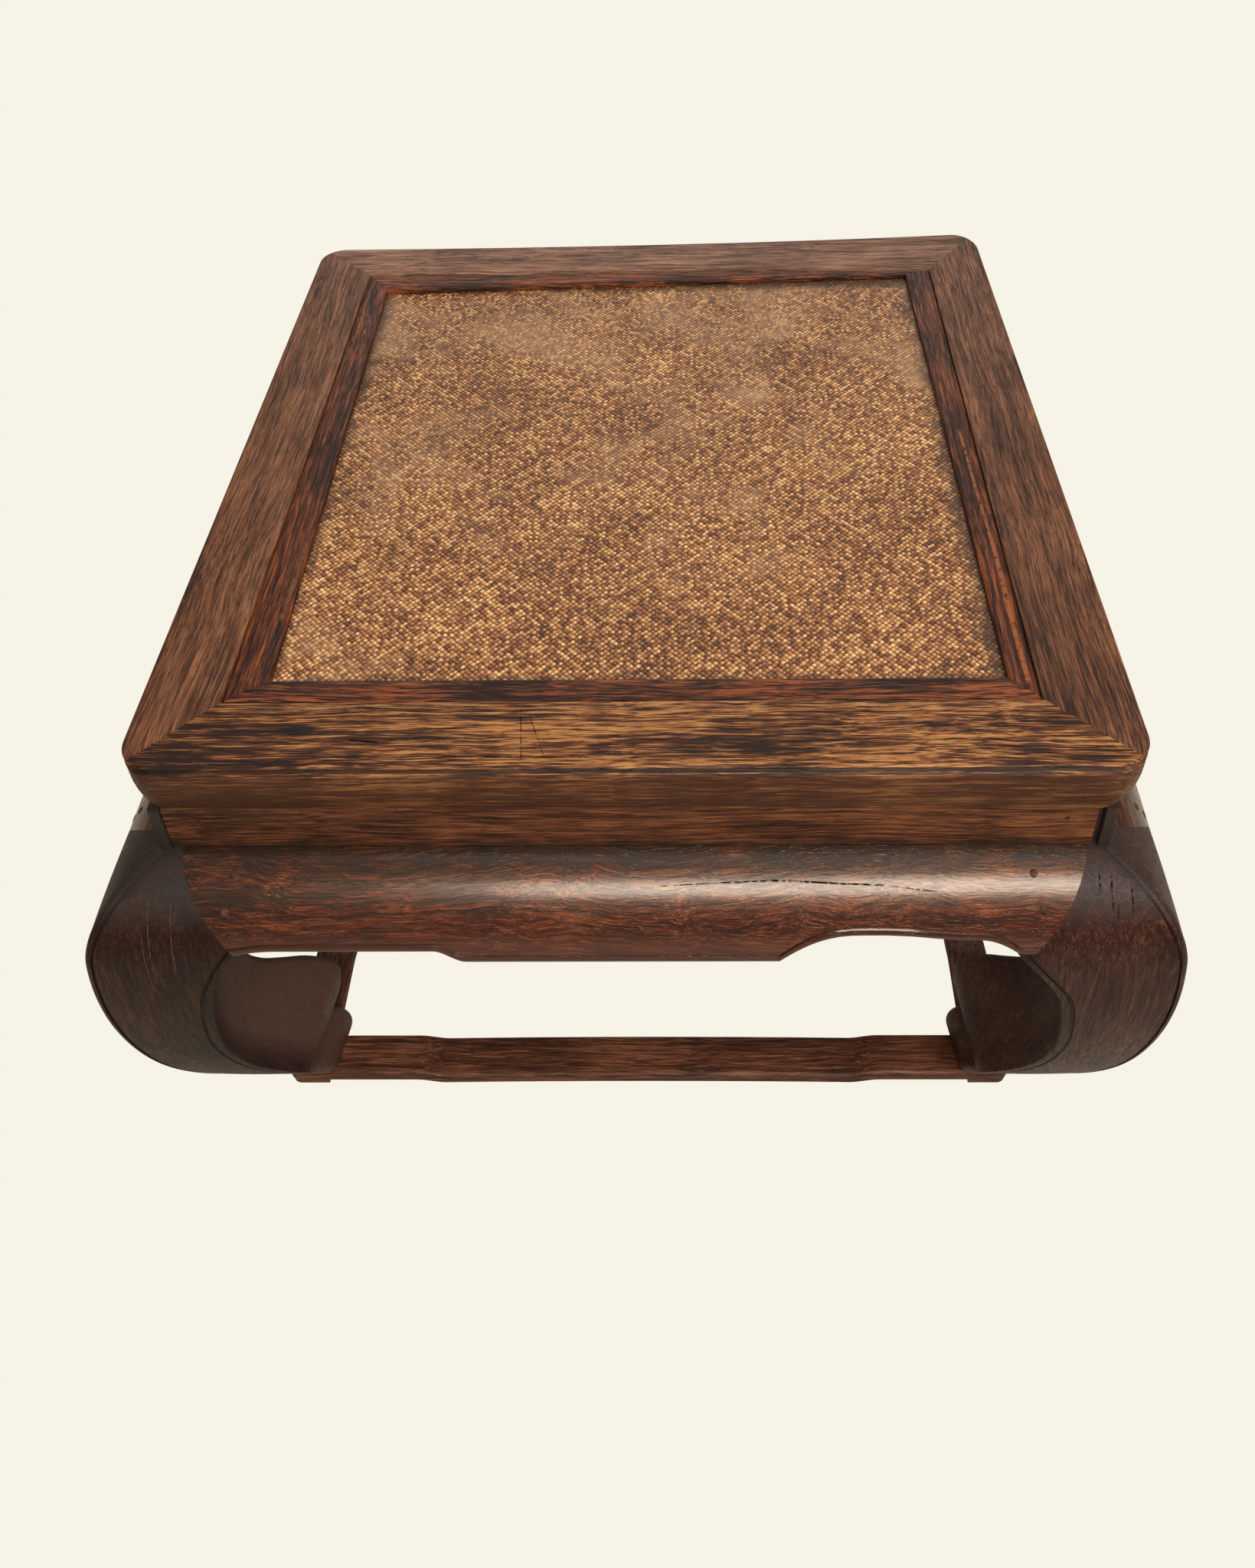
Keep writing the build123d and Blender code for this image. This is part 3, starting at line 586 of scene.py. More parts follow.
def strip_shape(n):
    """One cover strip as it lies at the front, mitred, rounded over and a little uneven."""
    corner = 231.0
    left, right = strip_inner(n - 1, corner), strip_inner(n + 1, -corner)
    sections = []
    cuts, rounding = 40, 403.5
    for number in range(cuts + 1):
        at = -STRIP_OUTER + 2 * STRIP_OUTER * number / cuts
        section = []
        for y, h in STRIP_PROFILE:
            share = (STRIP_OUTER - y) / (STRIP_OUTER - STRIP_INNER)
            limit = STRIP_OUTER - (STRIP_OUTER - right) * share
            x = max(-STRIP_OUTER + (STRIP_OUTER - left) * share, min(limit, at))
            if h > rounding:
                h += sum(high * math.sin(x / length + start) for high, length, start in STRIP_WAVES)
            section.append((x, (STRIP_OUTER - strip_inner(n, x)) * share - STRIP_OUTER, h))
        sections.append(section)
    return loft(sections)


def weave(direction, half):
    """Half of the strands of one direction: crowned, going over and under on the bias."""
    chance = random.Random(40 + 2 * direction + half)
    bm = bmesh.new()
    tint = bm.verts.layers.float.new("tint")
    crown = bm.verts.layers.float.new("crown")
    count = int((MAT_REACH + 8.0) * math.sqrt(2) / CANE_PITCH) + 2
    along = Vector((math.sqrt(0.5), math.sqrt(0.5) * (1 - 2 * direction), 0))
    across = Vector((-along.y, along.x, 0))
    for k in range(0, count) if half else range(-count, 0):
        # strands differ in tone in broad bands and by chance, and so do the cells along them
        band = 0.05 * math.sin(k * 0.9 + 2.1 * direction) * math.sin(k * 0.37)
        tone = 0.5 + band + chance.uniform(-STRAND_TONE, STRAND_TONE)
        lean = chance.uniform(-STRAND_LEAN, STRAND_LEAN)
        rows = []
        last_cell, cell_tone = None, 0.0
        for j in range(-2 * count, 2 * count + 1):
            run = j * CANE_PITCH / 2
            spot = across * (k * CANE_PITCH + lean) + along * run
            if abs(spot.x) > MAT_REACH or not -MAT_REACH < spot.y < BACK_EDGE + BACK_SLOPE * spot.x:
                if rows:
                    break
                continue
            level = math.cos(math.pi * (run / CANE_PITCH + k + direction))
            cell = math.floor(run / CANE_PITCH + 0.5)
            if cell != last_cell:
                last_cell, cell_tone = cell, chance.uniform(-CELL_TONE, CELL_TONE)
            row = []
            for place in (-1.0, 0.0, 1.0):
                at = spot + across * (place * CANE_WIDTH / 2)
                drop = CANE_SAG if place else 0.0
                height = CANE_TOP - CANE_SUNK + CANE_SWING * level - drop
                vert = bm.verts.new((at.x * MM, at.y * MM, height * MM))
                vert[tint] = tone + cell_tone
                vert[crown] = 0.5 + 0.5 * level - (0.5 if place else 0.0)
                row.append(vert)
            rows.append(row)
        for before, after in zip(rows, rows[1:]):
            for n in (0, 1):
                bm.faces.new((before[n], before[n + 1], after[n + 1], after[n]))
    bmesh.ops.recalc_face_normals(bm, faces=bm.faces[:])
    return bm


def mat_base():
    """Dark block under the weave, seen in the gaps between strands: its dark colour is painted shade."""
    bm = bmesh.new()
    bmesh.ops.create_cube(bm, size=1.0)
    top = CANE_TOP - 1.05
    size = (MAT_SIDE * MM, MAT_SIDE * MM, (top - LEDGE) * MM)
    bmesh.ops.scale(bm, vec=size, verts=bm.verts[:])
    bmesh.ops.translate(bm, vec=(0, 0, (top + LEDGE) / 2 * MM), verts=bm.verts[:])
    return bm


def rail_line(x):
    """Height of the floor rail's underside: raised near the corners, a shallow bow between."""
    start, length = RAIL_STEP
    bow = RAIL_BOW * max(0.0, 1 - (abs(x) / start) ** 2)
    return bow + RAIL_RISE * ease(start, start + length, abs(x))


def rail_shape():
    """Front rail of the floor frame."""
    straight = BASE_HALF - RAIL_CORNER

    def corner(side, degrees):
        turn = math.radians(degrees)
        raised = [(d, h + RAIL_RISE) for d, h in RAIL_PROFILE]
        return [rounded_corner(BASE_HALF, RAIL_CORNER, d, h, side, turn) for d, h in raised]

    def cut(station):
        section = []
        for d, h in RAIL_PROFILE:
            limit = min(straight, BASE_HALF - d)
            x = max(-limit, min(limit, station))
            section.append((x, d - BASE_HALF, h + rail_line(x)))
        return section

    stations = [-straight] + [-x for x in reversed(RAIL_CUTS)] + [0] + list(RAIL_CUTS) + [straight]
    sections = [corner(-1, degrees) for degrees in (45, 30, 15)]
    sections += [cut(station) for station in stations]
    sections += [corner(1, degrees) for degrees in (15, 30, 45)]
    return loft(sections)


# ---- Materials -----------------------------------------------------------------------------
TOP_FRONT = ("23110a", "43230f", "683b1e", "8c552b", "b8824a")
TOP_SIDE = ("2b170e", "4b2c1b", "663f29", "7f5136", "996845")
# paler and greyer than the front, partly as a painted sheen
TOP_BACK = ("3c261b", "604130", "805a46", "9d7059", "ba8c6f")
STRIP = ("1e0c05", "381b0e", "4d2615", "6a361b", "984e23")
WAIST = ("241209", "422313", "623621", "79472c", "945f3a")
APRON = ("1a0b07", "381811", "532518", "703822", "8e5230")
LEG = ("180b06", "29130c", "381c13", "4b2b1f", "684736")
RAIL = ("24130d", "402318", "5b3422", "794d39", "99684d")
BOARD = ("4a3524", "664c34", "7d6143", "957552", "ab8b63")
PEG = ("1a0d08", "30190f", "452518", "5a3423", "744a33")
CANE = ("371d0f", "66391c", "966037", "c08a52", "ffd898")
BLACK_GREEN = "1d1d17"
DEEP_RED = "45150d"
EDGE_BROWN = "4f2b19"
PAINTED_SHEEN_GREY = "494744"
# tan of the painted light on the legs' inner faces and bun
PAINTED_LIGHT_TAN = "7a5f50"
SOIL = "17110d"
# pale of the dust clouds on the cane, and of the painted sheen towards its back
DUST_AND_SHEEN = "b58d6a"
MAT_DIRT = "3b2a1e"
WARM_SHEEN = "ffe6cf"
COOL_SHEEN = "e6e8f2"
CRACK = "140c08"
SCRATCH = "6b5243"
WORN_EDGE = "9a5730"
WORN_BROWN = "6f4526"
PAPER = "f7f3e7"

# Cracks, scratches and worn lines: both ends, width and colour.
TOP_MARKS = (
    ((-168.0, -276.9, 405.0), (-144.7, -279.9, 405.0), 1.6, CRACK),
    ((-65.6, -252.0, 405.0), (-61.5, -294.0, 405.0), 0.8, CRACK),
    ((-60.6, -257.0, 405.0), (-48.0, -291.0, 405.0), 0.7, CRACK),
    ((105.0, -262.0, 405.0), (150.0, -264.5, 405.0), 0.8, CRACK),
    ((-110.0, -289.5, 405.0), (-20.0, -291.0, 405.0), 0.7, CRACK),
)
LEG_MARKS = (
    ((-282.0, -316.0, 306.0), (-276.0, -338.0, 262.0), 0.5, SCRATCH),
    ((-296.0, -320.0, 304.0), (-268.0, -334.0, 284.0), 0.5, SCRATCH),
    ((-300.0, -334.0, 290.0), (-297.0, -337.0, 240.0), 0.5, SCRATCH),
    ((291.0, -306.0, 313.0), (295.0, -322.0, 299.0), 1.5, CRACK),
    ((294.0, -318.0, 303.0), (293.0, -326.0, 294.0), 1.1, CRACK),
    ((284.0, -304.0, 314.0), (288.0, -314.0, 307.0), 1.2, CRACK),
    ((303.0, -308.0, 311.0), (309.0, -325.0, 296.0), 1.2, CRACK),
)
# a long check along the front apron, where the wood has opened
APRON_MARKS = (
    ((16.0, -312.0, 311.6), (54.0, -310.5, 312.5), 0.8, CRACK),
    ((52.0, -310.6, 312.4), (90.0, -309.6, 313.1), 1.1, CRACK),
    ((84.0, -309.6, 313.1), (126.0, -311.5, 311.8), 1.6, CRACK),
    ((122.0, -311.4, 311.9), (154.0, -312.3, 311.3), 1.4, CRACK),
    ((150.0, -312.1, 311.4), (186.0, -315.2, 309.2), 0.8, CRACK),
)
# lacquer gone from the crest of the side strips
STRIP_MARKS = (
    ((243.6, -236.0, 404.5), (242.9, -160.0, 404.5), 4.6, WORN_EDGE),
    ((242.9, -190.0, 404.5), (243.4, -100.0, 404.5), 3.6, WORN_EDGE),
    ((243.2, -120.0, 404.5), (240.0, 20.0, 404.5), 2.6, WORN_EDGE),
    ((-229.0, -180.0, 404.5), (-228.4, -100.0, 404.5), 3.4, WORN_BROWN),
)
# Dirt or deeper lacquer, and on the legs a painted sheen: colour, heights in metres where it starts and is
# full, and its most.
TOP_GRIME = ((EDGE_BROWN, 0.412, 0.403, 0.6),)
WAIST_GRIME = ((BLACK_GREEN, 0.340, 0.326, 0.85),)
APRON_GRIME = ((DEEP_RED, 0.314, 0.290, 0.6), (BLACK_GREEN, 0.322, 0.330, 0.8))
# painted sheen: the blue-grey reflection of a window on the legs' shoulders
LEG_PAINTED_SHEEN = ((PAINTED_SHEEN_GREY, 0.300, 0.313, 0.3),)
KNOT = (103.2, -152.3, 412.0)  # in the space of the grain, which is shifted and wavy
GRAIN_TURNS = {"X": (0, 0, 0), "Y": (0, 0, math.pi / 2), "Z": (0, math.pi / 2, 0)}


def linear(code):
    """sRGB hex colour as the linear values that shaders take."""
    parts = [int(code[n : n + 2], 16) / 255 for n in (0, 2, 4)]
    return [c / 12.92 if c <= 0.04045 else ((c + 0.055) / 1.055) ** 2.4 for c in parts] + [1.0]


def add(tree, kind, inputs=(), stops=(), **settings):
    """Adds a node: its settings, its ramp's rising stops, and its inputs.

    An input is a value, a hex colour, a socket, or a node whose first output it takes.
    """
    node = tree.nodes.new("ShaderNode" + kind)
    for name, value in settings.items():
        setattr(node, name, value)
    for number, (place, colour) in enumerate(stops):
        ramp = node.color_ramp.elements
        stop = ramp[number] if number < 2 else ramp.new(place)
        stop.position, stop.color = place, linear(colour)
    for name, value in dict(inputs).items():
        if isinstance(value, bpy.types.Node):
            value = value.outputs[0]
        if isinstance(value, bpy.types.NodeSocket):
            tree.links.new(value, node.inputs[name])
        else:
            node.inputs[name].default_value = linear(value) if isinstance(value, str) else value
    return node


def empty_material(name):
    """A material without nodes yet."""
    material = bpy.data.materials.new(name)
    material.use_nodes = True
    material.node_tree.nodes.clear()
    return material


def coated(tree, colour, layers):
    """A colour under thin layers, each of them laid on by its own amount."""
    for amount, tint in layers:
        colour = add(tree, "Mix", {0: amount, 6: colour, 7: tint}, data_type="RGBA").outputs[2]
    return colour


def stroke(tree, coords, start, end, width):
    """Amount of a straight scratch or crack between two points, in millimetres.

    On the front and the top it is seen square on.
    """
    a, b = Vector(start) * MM, Vector(end) * MM
    length = (b - a).length
    run = (b - a) / length
    side = Vector((-run.y, run.x, 0)) if abs(run.z) < 0.5 else Vector((1, 0, 0))
    offset = add(tree, "VectorMath", {0: coords, 1: a}, operation="SUBTRACT")
    along = add(tree, "VectorMath", {0: offset, 1: run}, operation="DOT_PRODUCT").outputs["Value"]
    across = add(tree, "VectorMath", {0: offset, 1: side}, operation="DOT_PRODUCT").outputs["Value"]
    middle = add(tree, "Math", {0: along, 1: length / 2}, operation="SUBTRACT")
    inside = add(tree, "Math", {0: middle}, operation="ABSOLUTE")
    beside = add(tree, "Math", {0: across}, operation="ABSOLUTE")
    ends = add(tree, "MapRange", {0: inside, 1: length / 2, 2: length / 2 - 0.004})
    core = add(tree, "MapRange", {0: beside, 1: width * MM / 2, 2: width * MM / 5})
    return add(tree, "Math", {0: ends, 1: core}, operation="MULTIPLY")


def aged_lacquer(name, colours, along="X", shift=0.0, gloss=0.42, coat=0.0, shine=0.3, sheen="ffffff",
                 wear=0.0, top_wear=0.0, left_painted_shade=0.0, contrast=1.0, waver=0.014,
                 grime_and_sheen=(), strokes=(), knot=None):
    """Old brown-red lacquer rubbed thin over elm: streaky grain, open pores, rubbed-through streaks.

    The colours run from dark lacquer in the hollows to bare golden wood. More wear, all over or on
    the top faces, shows more of the wood. The sheen is soft and broken by the grain.
    """
    material = empty_material(name)
    tree = material.node_tree
    coords = add(tree, "TexCoord").outputs["Object"]
    place = {"Vector": coords, "Location": (shift, shift * 0.37, 0), "Rotation": GRAIN_TURNS[along]}
    base = add(tree, "Mapping", place)
    # grain lines wander a few millimetres over a hand's width
    sway = add(tree, "TexNoise", {"Vector": base, "Scale": 6.0, "Detail": 3.0}).outputs["Color"]
    bent = add(tree, "VectorMath", {0: sway, 1: (0.0, waver, waver)}, operation="MULTIPLY")
    flow = add(tree, "VectorMath", {0: base, 1: bent}, operation="ADD")

    def grained(scale, detail, rough=0.6):
        """Cloudy pattern drawn out along the grain."""
        space = add(tree, "Mapping", {"Vector": flow, "Scale": scale})
        return add(tree, "TexNoise", {"Vector": space, "Scale": 1.0, "Detail": detail, "Roughness": rough})

    # growth bands 15 mm wide, streaks 3 mm wide and fibres 1 mm wide, all long along the grain
    bands = grained((6.0, 70.0, 70.0), 3.0)
    streaks = grained((15.0, 420.0, 420.0), 5.0, 0.7)
    fibres = grained((40.0, 1300.0, 1300.0), 2.0)
    patch = add(tree, "TexNoise", {"Vector": base, "Scale": 13.0, "Detail": 4.0, "Roughness": 0.6})
    spot = add(tree, "SeparateXYZ", {0: coords})
    aside, height = spot.outputs[0], spot.outputs[2]
    # the top faces can be worn paler; darker towards the left of the table is painted shade, as if the light
    # came from the right, and a value below 0 makes the left paler as painted light
    upper = add(tree, "MapRange", {0: height, 1: (TOP - 1.5) * MM, 2: (TOP - 0.2) * MM, 4: top_wear})
    left_shade_mask = add(tree, "MapRange", {0: aside, 1: -0.05, 2: -0.26, 4: -left_painted_shade})
    grain = add(tree, "Math", {0: upper, 1: left_shade_mask}, operation="ADD")
    for part, weight in ((bands, 0.55), (streaks, 1.45), (fibres, 1.2), (patch, 0.6)):
        centred = add(tree, "Math", {0: part, 1: weight, 2: -weight / 2}, operation="MULTIPLY_ADD")
        grain = add(tree, "Math", {0: grain, 1: centred}, operation="ADD")
    middle, spread = 0.02 - wear, 0.4 / contrast
    scaled = add(tree, "MapRange", {0: grain, 1: middle - spread, 2: middle + spread})
    stops = tuple(zip((0.18, 0.36, 0.5, 0.66, 0.86), colours))
    tone = add(tree, "ValToRGB", {"Fac": scaled}, stops=stops)
    # dark open pores, half a millimetre wide
    pores = grained((90.0, 1500.0, 1500.0), 1.0)
    pore_cut = add(tree, "MapRange", {0: pores, 1: 0.6, 2: 0.7, 4: 0.7})
    soil_and_light = add(tree, "Attribute", attribute_name="soil_and_light").outputs["Fac"]
    # painted light: where the mark is below 0, the legs' inner faces and bun are made paler
    painted_light = add(tree, "Math", {0: soil_and_light, 1: -0.18}, operation="MULTIPLY")
    dirty = add(tree, "Math", {0: soil_and_light, 1: 0.85}, operation="MULTIPLY")
    layers = [(pore_cut, colours[0]), (painted_light, PAINTED_LIGHT_TAN), (dirty, SOIL)]
    for dirt_and_sheen, low_line, high_line, most in grime_and_sheen:
        # dirt and deeper lacquer, and on the legs a painted sheen, that set in between two heights
        cloud = add(tree, "TexNoise", {"Vector": base, "Scale": 40.0, "Detail": 4.0})
        sway_line = add(tree, "Math", {0: cloud, 1: 0.02, 2: height}, operation="MULTIPLY_ADD")
        layers.append((add(tree, "MapRange", {0: sway_line, 1: low_line, 2: high_line, 4: most}), dirt_and_sheen))
    # scratches and cracks waver and break off here and there, and a crack has no sheen
    wavy = add(tree, "VectorMath", {0: sway, 1: (0.0, 0.003, 0.0), 2: coords}, operation="MULTIPLY_ADD")
    gaps = add(tree, "TexNoise", {"Vector": coords, "Scale": 320.0, "Detail": 2.0})
    broken = add(tree, "MapRange", {0: gaps, 1: 0.36, 2: 0.52})
    whole = 1.0
    for start, end, width, tint in strokes:
        line = stroke(tree, wavy, start, end, width)
        line = add(tree, "Math", {0: line, 1: broken}, operation="MULTIPLY")
        layers.append((line, tint))
        if tint == CRACK:
            whole = add(tree, "Math", {0: whole, 1: line}, operation="SUBTRACT", use_clamp=True)
    if knot:
        # a small dark knot, long along the grain
        away = add(tree, "VectorMath", {0: flow, 1: Vector(knot) * MM}, operation="SUBTRACT")
        squeezed = add(tree, "VectorMath", {0: away, 1: (0.33, 1.0, 0.6)}, operation="MULTIPLY")
        size = add(tree, "VectorMath", {0: squeezed}, operation="LENGTH").outputs["Value"]
        layers.append((add(tree, "MapRange", {0: size, 1: 0.0062, 2: 0.003, 4: 0.95}), CRACK))
    rough = add(tree, "MapRange", {0: grain, 1: -0.3, 2: 0.3, 3: gloss + 0.12, 4: gloss - 0.04})
    relief = add(tree, "Math", {0: pore_cut, 1: -0.7, 2: streaks}, operation="MULTIPLY_ADD")
    look = {
        "Base Color": coated(tree, tone, layers),
        "Roughness": rough,
        "Normal": add(tree, "Bump", {"Height": relief, "Strength": 0.4, "Distance": 0.0007}),
        "Coat Weight": add(tree, "Math", {0: whole, 1: coat}, operation="MULTIPLY"),
        "Coat Roughness": 0.2,
        "Specular IOR Level": add(tree, "Math", {0: whole, 1: shine}, operation="MULTIPLY"),
        "Specular Tint": sheen,
    }
    shader = add(tree, "BsdfPrincipled", look)
    add(tree, "OutputMaterial", {"Surface": shader})
    return material


def woven_cane():
    """Split cane gone golden brown: each strand has its own tone, and its crowns are pale, partly worn and
    partly painted highlights.

    Dust makes the mat pale and flat in clouds, a painted sheen makes it paler towards the back, and dirt
    darkens its edges.
    """
    material = empty_material("woven_split_cane")
    tree = material.node_tree
    coords = add(tree, "TexCoord").outputs["Object"]
    spot = add(tree, "SeparateXYZ", {0: coords})
    tint = add(tree, "Attribute", attribute_name="tint").outputs["Fac"]
    crown = add(tree, "Attribute", attribute_name="crown").outputs["Fac"]
    cloud = add(tree, "TexNoise", {"Vector": coords, "Scale": 13.0, "Detail": 5.0, "Roughness": 0.62})
    fleck = add(tree, "TexNoise", {"Vector": coords, "Scale": 900.0, "Detail": 2.0})
    # the tops of the strands are paler: partly worn, partly a painted highlight where they catch the light
    value = add(tree, "MapRange", {0: crown, 1: 0.45, 2: 0.95, 4: 0.3})
    for part, weight in ((crown, 0.5), (tint, 1.2), (fleck, 0.3), (cloud, 0.7)):
        value = add(tree, "Math", {0: part, 1: weight, 2: value}, operation="MULTIPLY_ADD")
    scaled = add(tree, "MapRange", {0: value, 1: 0.71, 2: 2.16})
    stops = tuple(zip((0.06, 0.28, 0.48, 0.68, 0.97), CANE))
    tone = add(tree, "ValToRGB", {"Fac": scaled}, stops=stops)
    # pale clouds of dust, with a painted sheen that grows towards the back, the glare of the rear wall at a
    # grazing angle
    cover = {"Vector": coords, "Scale": 9.0, "Detail": 6.0, "Roughness": 0.68, "Distortion": 0.4}
    dust_and_sheen_veil = add(tree, "TexNoise", cover)
    dust_and_sheen_veil = add(tree, "Math", {0: spot.outputs[1], 1: 0.3, 2: dust_and_sheen_veil}, operation="MULTIPLY_ADD")
    dust_and_sheen = add(tree, "MapRange", {0: dust_and_sheen_veil, 1: 0.52, 2: 0.7, 4: 0.62})
    # dirt gathers along the strips and in the corners
    ragged = add(tree, "TexNoise", {"Vector": coords, "Scale": 60.0, "Detail": 4.0})
    reach = []
    for axis, far in ((0, 0.229), (1, 0.233)):
        away = add(tree, "Math", {0: spot.outputs[axis]}, operation="ABSOLUTE")
        near = add(tree, "Math", {0: ragged, 1: 0.022, 2: away}, operation="MULTIPLY_ADD")
        reach.append(add(tree, "MapRange", {0: near, 1: far, 2: far + 0.011, 4: 0.8}))
    edge_dirt = add(tree, "Math", {0: reach[0], 1: reach[1]}, operation="MAXIMUM")
    colour = coated(tree, tone, [(dust_and_sheen, DUST_AND_SHEEN), (edge_dirt, MAT_DIRT)])
    look = {"Base Color": colour, "Roughness": 0.42, "Specular IOR Level": 0.45}
    shader = add(tree, "BsdfPrincipled", look)
    add(tree, "OutputMaterial", {"Surface": shader})
    return material


# rubbed golden at the front, duller and paler towards the back, where the pale grey is partly a painted
# sheen
front_top = aged_lacquer("rubbed_lacquer_front", TOP_FRONT, "X", 0.3, contrast=1.4, top_wear=0.015,
                         left_painted_shade=0.07, grime_and_sheen=TOP_GRIME, strokes=TOP_MARKS, knot=KNOT)
# the left side's top is made a little paler than the right, painted light
side_top = aged_lacquer("rubbed_lacquer_side", TOP_SIDE, "Y", 0.7, contrast=0.75, left_painted_shade=-0.04)
back_top = aged_lacquer("rubbed_lacquer_back", TOP_BACK, "X", 1.9, contrast=0.75)
# darker and redder, with an orange crest
strip_x = aged_lacquer("strip_lacquer_x", STRIP, "X", 3.1, contrast=1.6)
strip_y = aged_lacquer("strip_lacquer_y", STRIP, "Y", 4.3, strokes=STRIP_MARKS)
# brown above, black-green where dust and smoke have settled below
waist_x = aged_lacquer("waist_lacquer_x", WAIST, "X", 5.2, contrast=0.8, left_painted_shade=0.14, grime_and_sheen=WAIST_GRIME)
waist_y = aged_lacquer("waist_lacquer_y", WAIST, "Y", 6.2, grime_and_sheen=WAIST_GRIME)
# the reddest and glossiest, with a warm highlight along the bulge
apron_x = aged_lacquer("apron_lacquer_x", APRON, "X", 7.7, gloss=0.22, coat=0.7, shine=0.5, sheen=WARM_SHEEN,
                       left_painted_shade=0.06, waver=0.05, grime_and_sheen=APRON_GRIME, strokes=APRON_MARKS)
apron_y = aged_lacquer("apron_lacquer_y", APRON, "Y", 8.7, gloss=0.22, coat=0.7, shine=0.5, sheen=WARM_SHEEN,
                       grime_and_sheen=APRON_GRIME)
# nearly black, with a cool sheen on its shoulders that is partly painted in as blue-grey, and painted shade
# on the left
leg_wood = aged_lacquer("leg_lacquer", LEG, "Z", 0.2, gloss=0.36, shine=0.26, sheen=COOL_SHEEN, contrast=0.6,
                        left_painted_shade=0.2, grime_and_sheen=LEG_PAINTED_SHEEN, strokes=LEG_MARKS)
# dull, scuffed by feet
rail_x = aged_lacquer("rail_lacquer_x", RAIL, "X", 9.7, wear=-0.02, contrast=0.65)
rail_y = aged_lacquer("rail_lacquer_y", RAIL, "Y", 10.7, wear=-0.02, contrast=0.65)
# pale and never lacquered, out of sight
bare = aged_lacquer("bare_softwood", BOARD, "X", 1.1, gloss=0.62)
# dark ends of the pegs, which drink in dirt; also the shade under the weave
peg_wood = aged_lacquer("peg_end_grain", PEG, "Y", 2.2, gloss=0.5)
# golden and lively
cane = woven_cane()


# ---- The table -----------------------------------------------------------------------------
def pair(x, z):
    """A spot on the front and its mirror image."""
    return [(-x, z), (x, z)]


def outer_slope(z):
    """Lean of the bulging face."""
    return outer(z + 0.5) - outer(z - 0.5)


def coloured(name, material):
    """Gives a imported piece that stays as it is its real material."""
    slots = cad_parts[name].data.materials
    slots.clear()
    slots.append(material)


side_woods = (side_top, strip_y, apron_y, waist_y, rail_y)
woods = (
    (front_top, strip_x, apron_x, waist_x, rail_x),
    side_woods,
    (back_top, strip_x, apron_x, waist_x, rail_x),
    side_woods,
)
member, apron, rail = member_shape(), apron_shape(), rail_shape()
# the front-right leg gets less painted light on its inner faces than the others
leg, right_leg = leg_shape(0.0, 1.7), leg_shape(FULLER, 0.25)
for n, (side, (top, strip, bulge, board, low)) in enumerate(zip(SIDES, woods)):
    front = side == "front"
    piece("top_rail_" + side, out_of_square(turned(member, n)), top, ["top_frame_" + side])
    piece("cane_strip_" + side, turned(strip_shape(n), n), strip, ["cover_strip_" + side])
    shape = apron_shape(worn=True) if front else turned(apron, n)
    piece("bulging_apron_" + side, shape, bulge, ["apron_" + side])
    piece("foot_rail_" + side, turned(rail, n), low, ["floor_rail_" + side])
    # the joint at the right end of the front board has opened
    waist = waist_shape(0.5, 4.0 if front else 0.5)
    piece("waist_board_" + side, turned(waist, n), board, ["waist_" + side])
for n, corner in enumerate(CORNERS):
    shape = right_leg if corner == "front_right" else leg
    piece("drum_leg_" + corner, turned(shape, n), leg_wood, ["leg_" + corner])
    coloured("floor_pad_" + corner, rail_x)
for direction, way in enumerate(("rising", "falling")):
    for half, where in enumerate(("left", "right")):
        piece("cane_%s_%s" % (way, where), weave(direction, half), cane, (), angle=180.0)
piece("cane_base", mat_base(), peg_wood, ["cane_mat"])

apron_spots = [spot for peg in APRON_PEGS for spot in pair(*peg)]
moulding, lean = lambda z: -MOULDING_AT_PEG, lambda z: MOULDING_LEAN
frame_ends = peg_ends(FRAME_PEG_RADIUS, pair(*FRAME_PEG), moulding, lean)
waist_ends = peg_ends(WAIST_PEG_RADIUS, pair(*WAIST_PEG), lambda z: -WAIST_FACE, lambda z: 0.0)
apron_ends = peg_ends(APRON_PEG_RADIUS, apron_spots, lambda z: -outer(z), outer_slope)
piece("round_pegs_frame", all_round(frame_ends), peg_wood, ["frame_pegs"])
piece("round_pegs_waist", all_round(waist_ends), peg_wood, ["waist_pegs"])
piece("round_pegs_apron", all_round(apron_ends), peg_wood, ["apron_pegs"])
for name in ("board_front", "board_middle", "board_back"):
    coloured("backing_" + name, bare)
for name in ("batten_left", "batten_right"):
    coloured(name, bare)

# ---- Floor, light and camera ---------------------------------------------------------------
# an evenly lit pale sweep: one plain tone to the eye, and a soft bounce onto the table
paper = empty_material("pale_paper_floor")
tree = paper.node_tree
seen = add(tree, "LightPath").outputs["Is Camera Ray"]
plain = add(tree, "Emission", {"Color": PAPER, "Strength": 1.0})
bounce = add(tree, "BsdfDiffuse", {"Color": "c4bcac"})
both = add(tree, "MixShader", {0: seen, 1: bounce, 2: plain})
add(tree, "OutputMaterial", {"Surface": both})
floor_bm = bmesh.new()
bmesh.ops.create_grid(floor_bm, x_segments=1, y_segments=1, size=40.0)
floor_mesh = bpy.data.meshes.new("floor")
floor_bm.to_mesh(floor_mesh)
floor_bm.free()
floor = bpy.data.objects.new("floor", floor_mesh)
floor_mesh.materials.append(paper)
scene.collection.objects.link(floor)

# the room is seen as pale as the floor, but gives little light
world = bpy.data.worlds.new("studio")
scene.world = world
world.use_nodes = True
tree = world.node_tree
tree.nodes.clear()
seen = add(tree, "LightPath").outputs["Is Camera Ray"]
strength = add(tree, "Math", {0: seen, 1: 0.84, 2: 0.16}, operation="MULTIPLY_ADD")
room = add(tree, "Background", {"Color": PAPER, "Strength": strength})
add(tree, "OutputWorld", {"Surface": room})


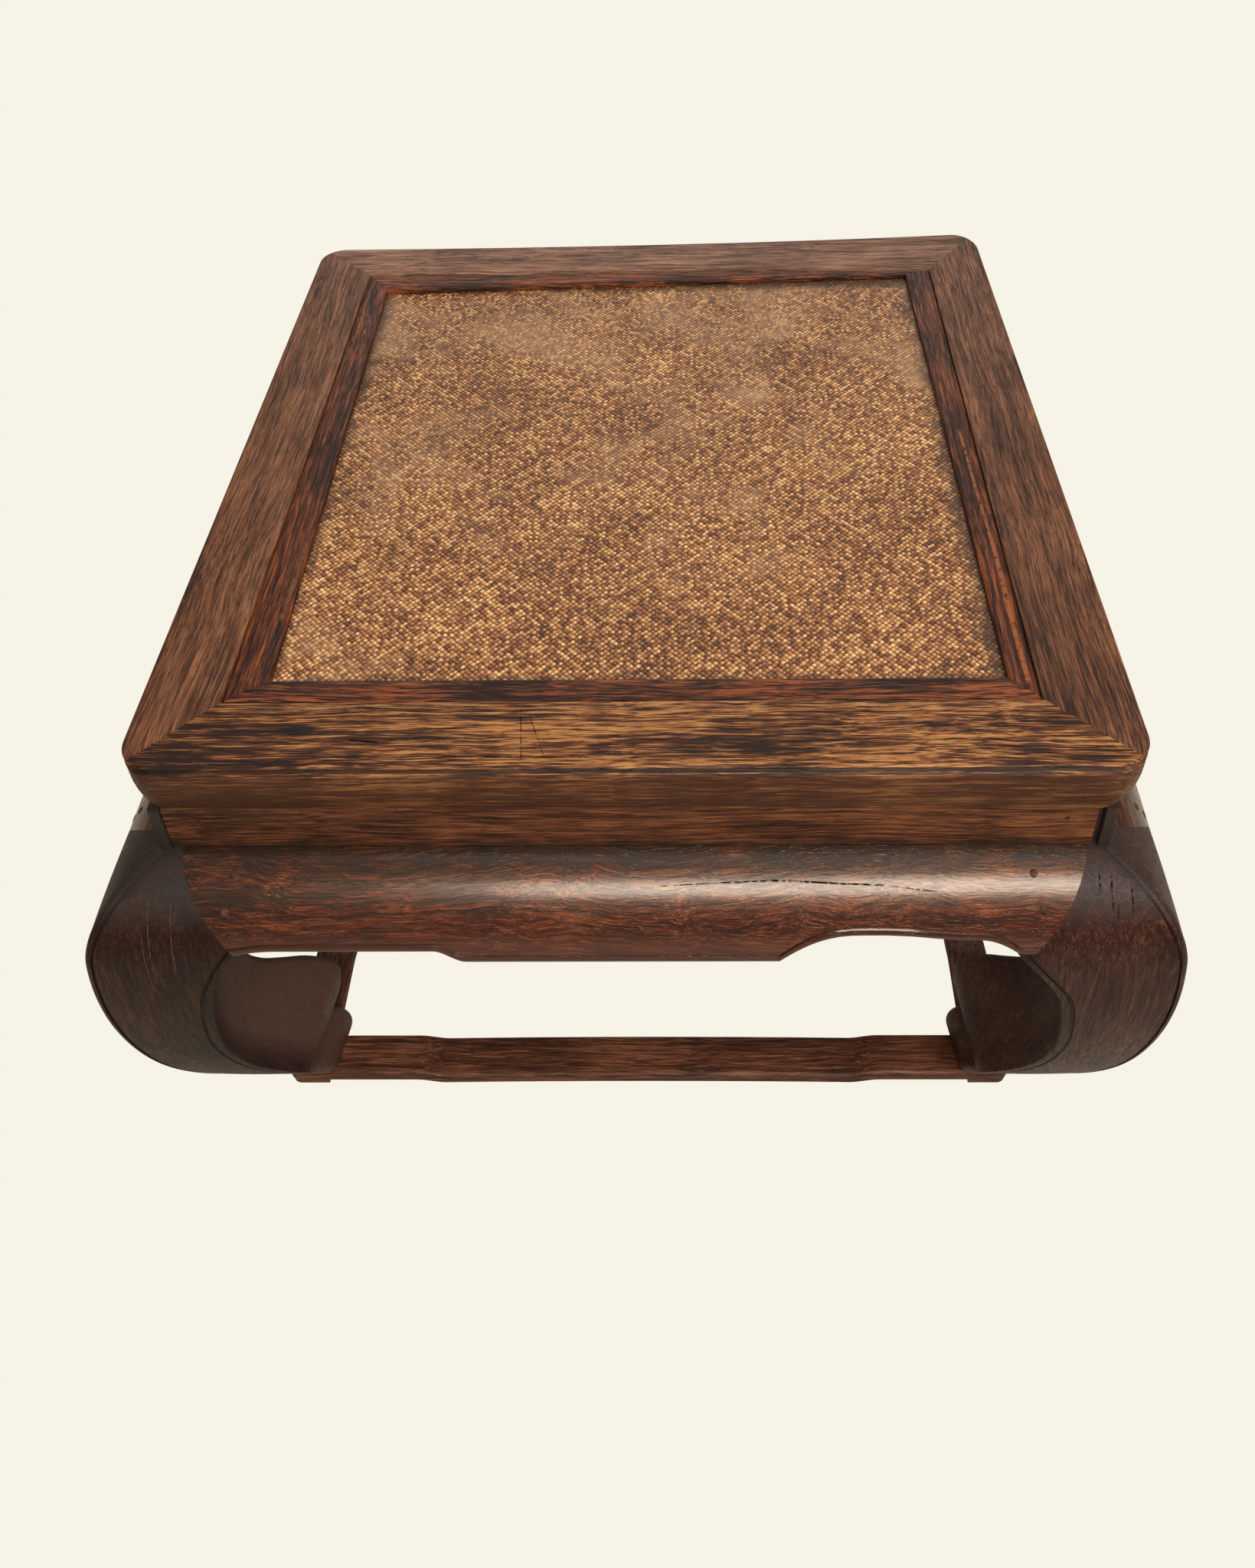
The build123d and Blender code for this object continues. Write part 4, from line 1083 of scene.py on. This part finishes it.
def soft_box(name, place, aim, size, power, colour):
    """Large rectangular studio light."""
    lamp = bpy.data.lights.new(name, "AREA")
    lamp.shape = "RECTANGLE"
    lamp.size, lamp.size_y = size
    lamp.energy = power
    lamp.color = linear(colour)[:3]
    thing = bpy.data.objects.new(name, lamp)
    thing.location = place
    thing.rotation_euler = (Vector(aim) - Vector(place)).to_track_quat("-Z", "Y").to_euler()
    scene.collection.objects.link(thing)


soft_box("front_window", (0.42, -1.85, 2.2), (0.03, -0.3, 0.3), (1.7, 0.7), 55.0, "fff2e2")
soft_box("side_window", (1.9, -1.2, 1.5), (0.3, -0.3, 0.3), (0.8, 0.6), 13.0, "dfe9f5")
soft_box("rear_wall", (0, 2.7, 1.6), (0, 0, 0.4), (3.2, 1.2), 16.0, "fff8ee")
day = bpy.data.lights.new("room_daylight", "SUN")
day.energy = 0.66
day.angle = math.radians(60)
sky = bpy.data.objects.new("room_daylight", day)
sky.rotation_euler = Vector((-0.12, -0.3, -1.0)).to_track_quat("-Z", "Y").to_euler()
scene.collection.objects.link(sky)

# In pixels: size of the rendered view, the point in it that the lens looks straight at, focal length.
WIDTH, HEIGHT = 1639.0, 2048.0
CENTRE_X, CENTRE_Y = 880.0, 520.0
FOCAL = 1829.92
SENSOR = 36.0
yaw, pitch, roll = 0.0217102, 0.6344256, -0.0216405
turn = Matrix.Rotation(yaw, 3, "Z") @ Matrix.Rotation(math.pi / 2 - pitch, 3, "X")
turn = turn @ Matrix.Rotation(-roll, 3, "Z").inverted()
camera_data = bpy.data.cameras.new("camera")
camera_data.sensor_fit = "AUTO"
camera_data.sensor_width = SENSOR
camera_data.lens = SENSOR * FOCAL / HEIGHT
camera_data.shift_x = (WIDTH / 2 - CENTRE_X) / HEIGHT
camera_data.shift_y = (CENTRE_Y - HEIGHT / 2) / HEIGHT
camera_data.clip_end = 200.0
camera = bpy.data.objects.new("camera", camera_data)
camera.matrix_world = Matrix.Translation((0.04329, -0.8244, 1.0554)) @ turn.to_4x4()
scene.collection.objects.link(camera)
scene.camera = camera
scene.view_settings.view_transform = "Standard"
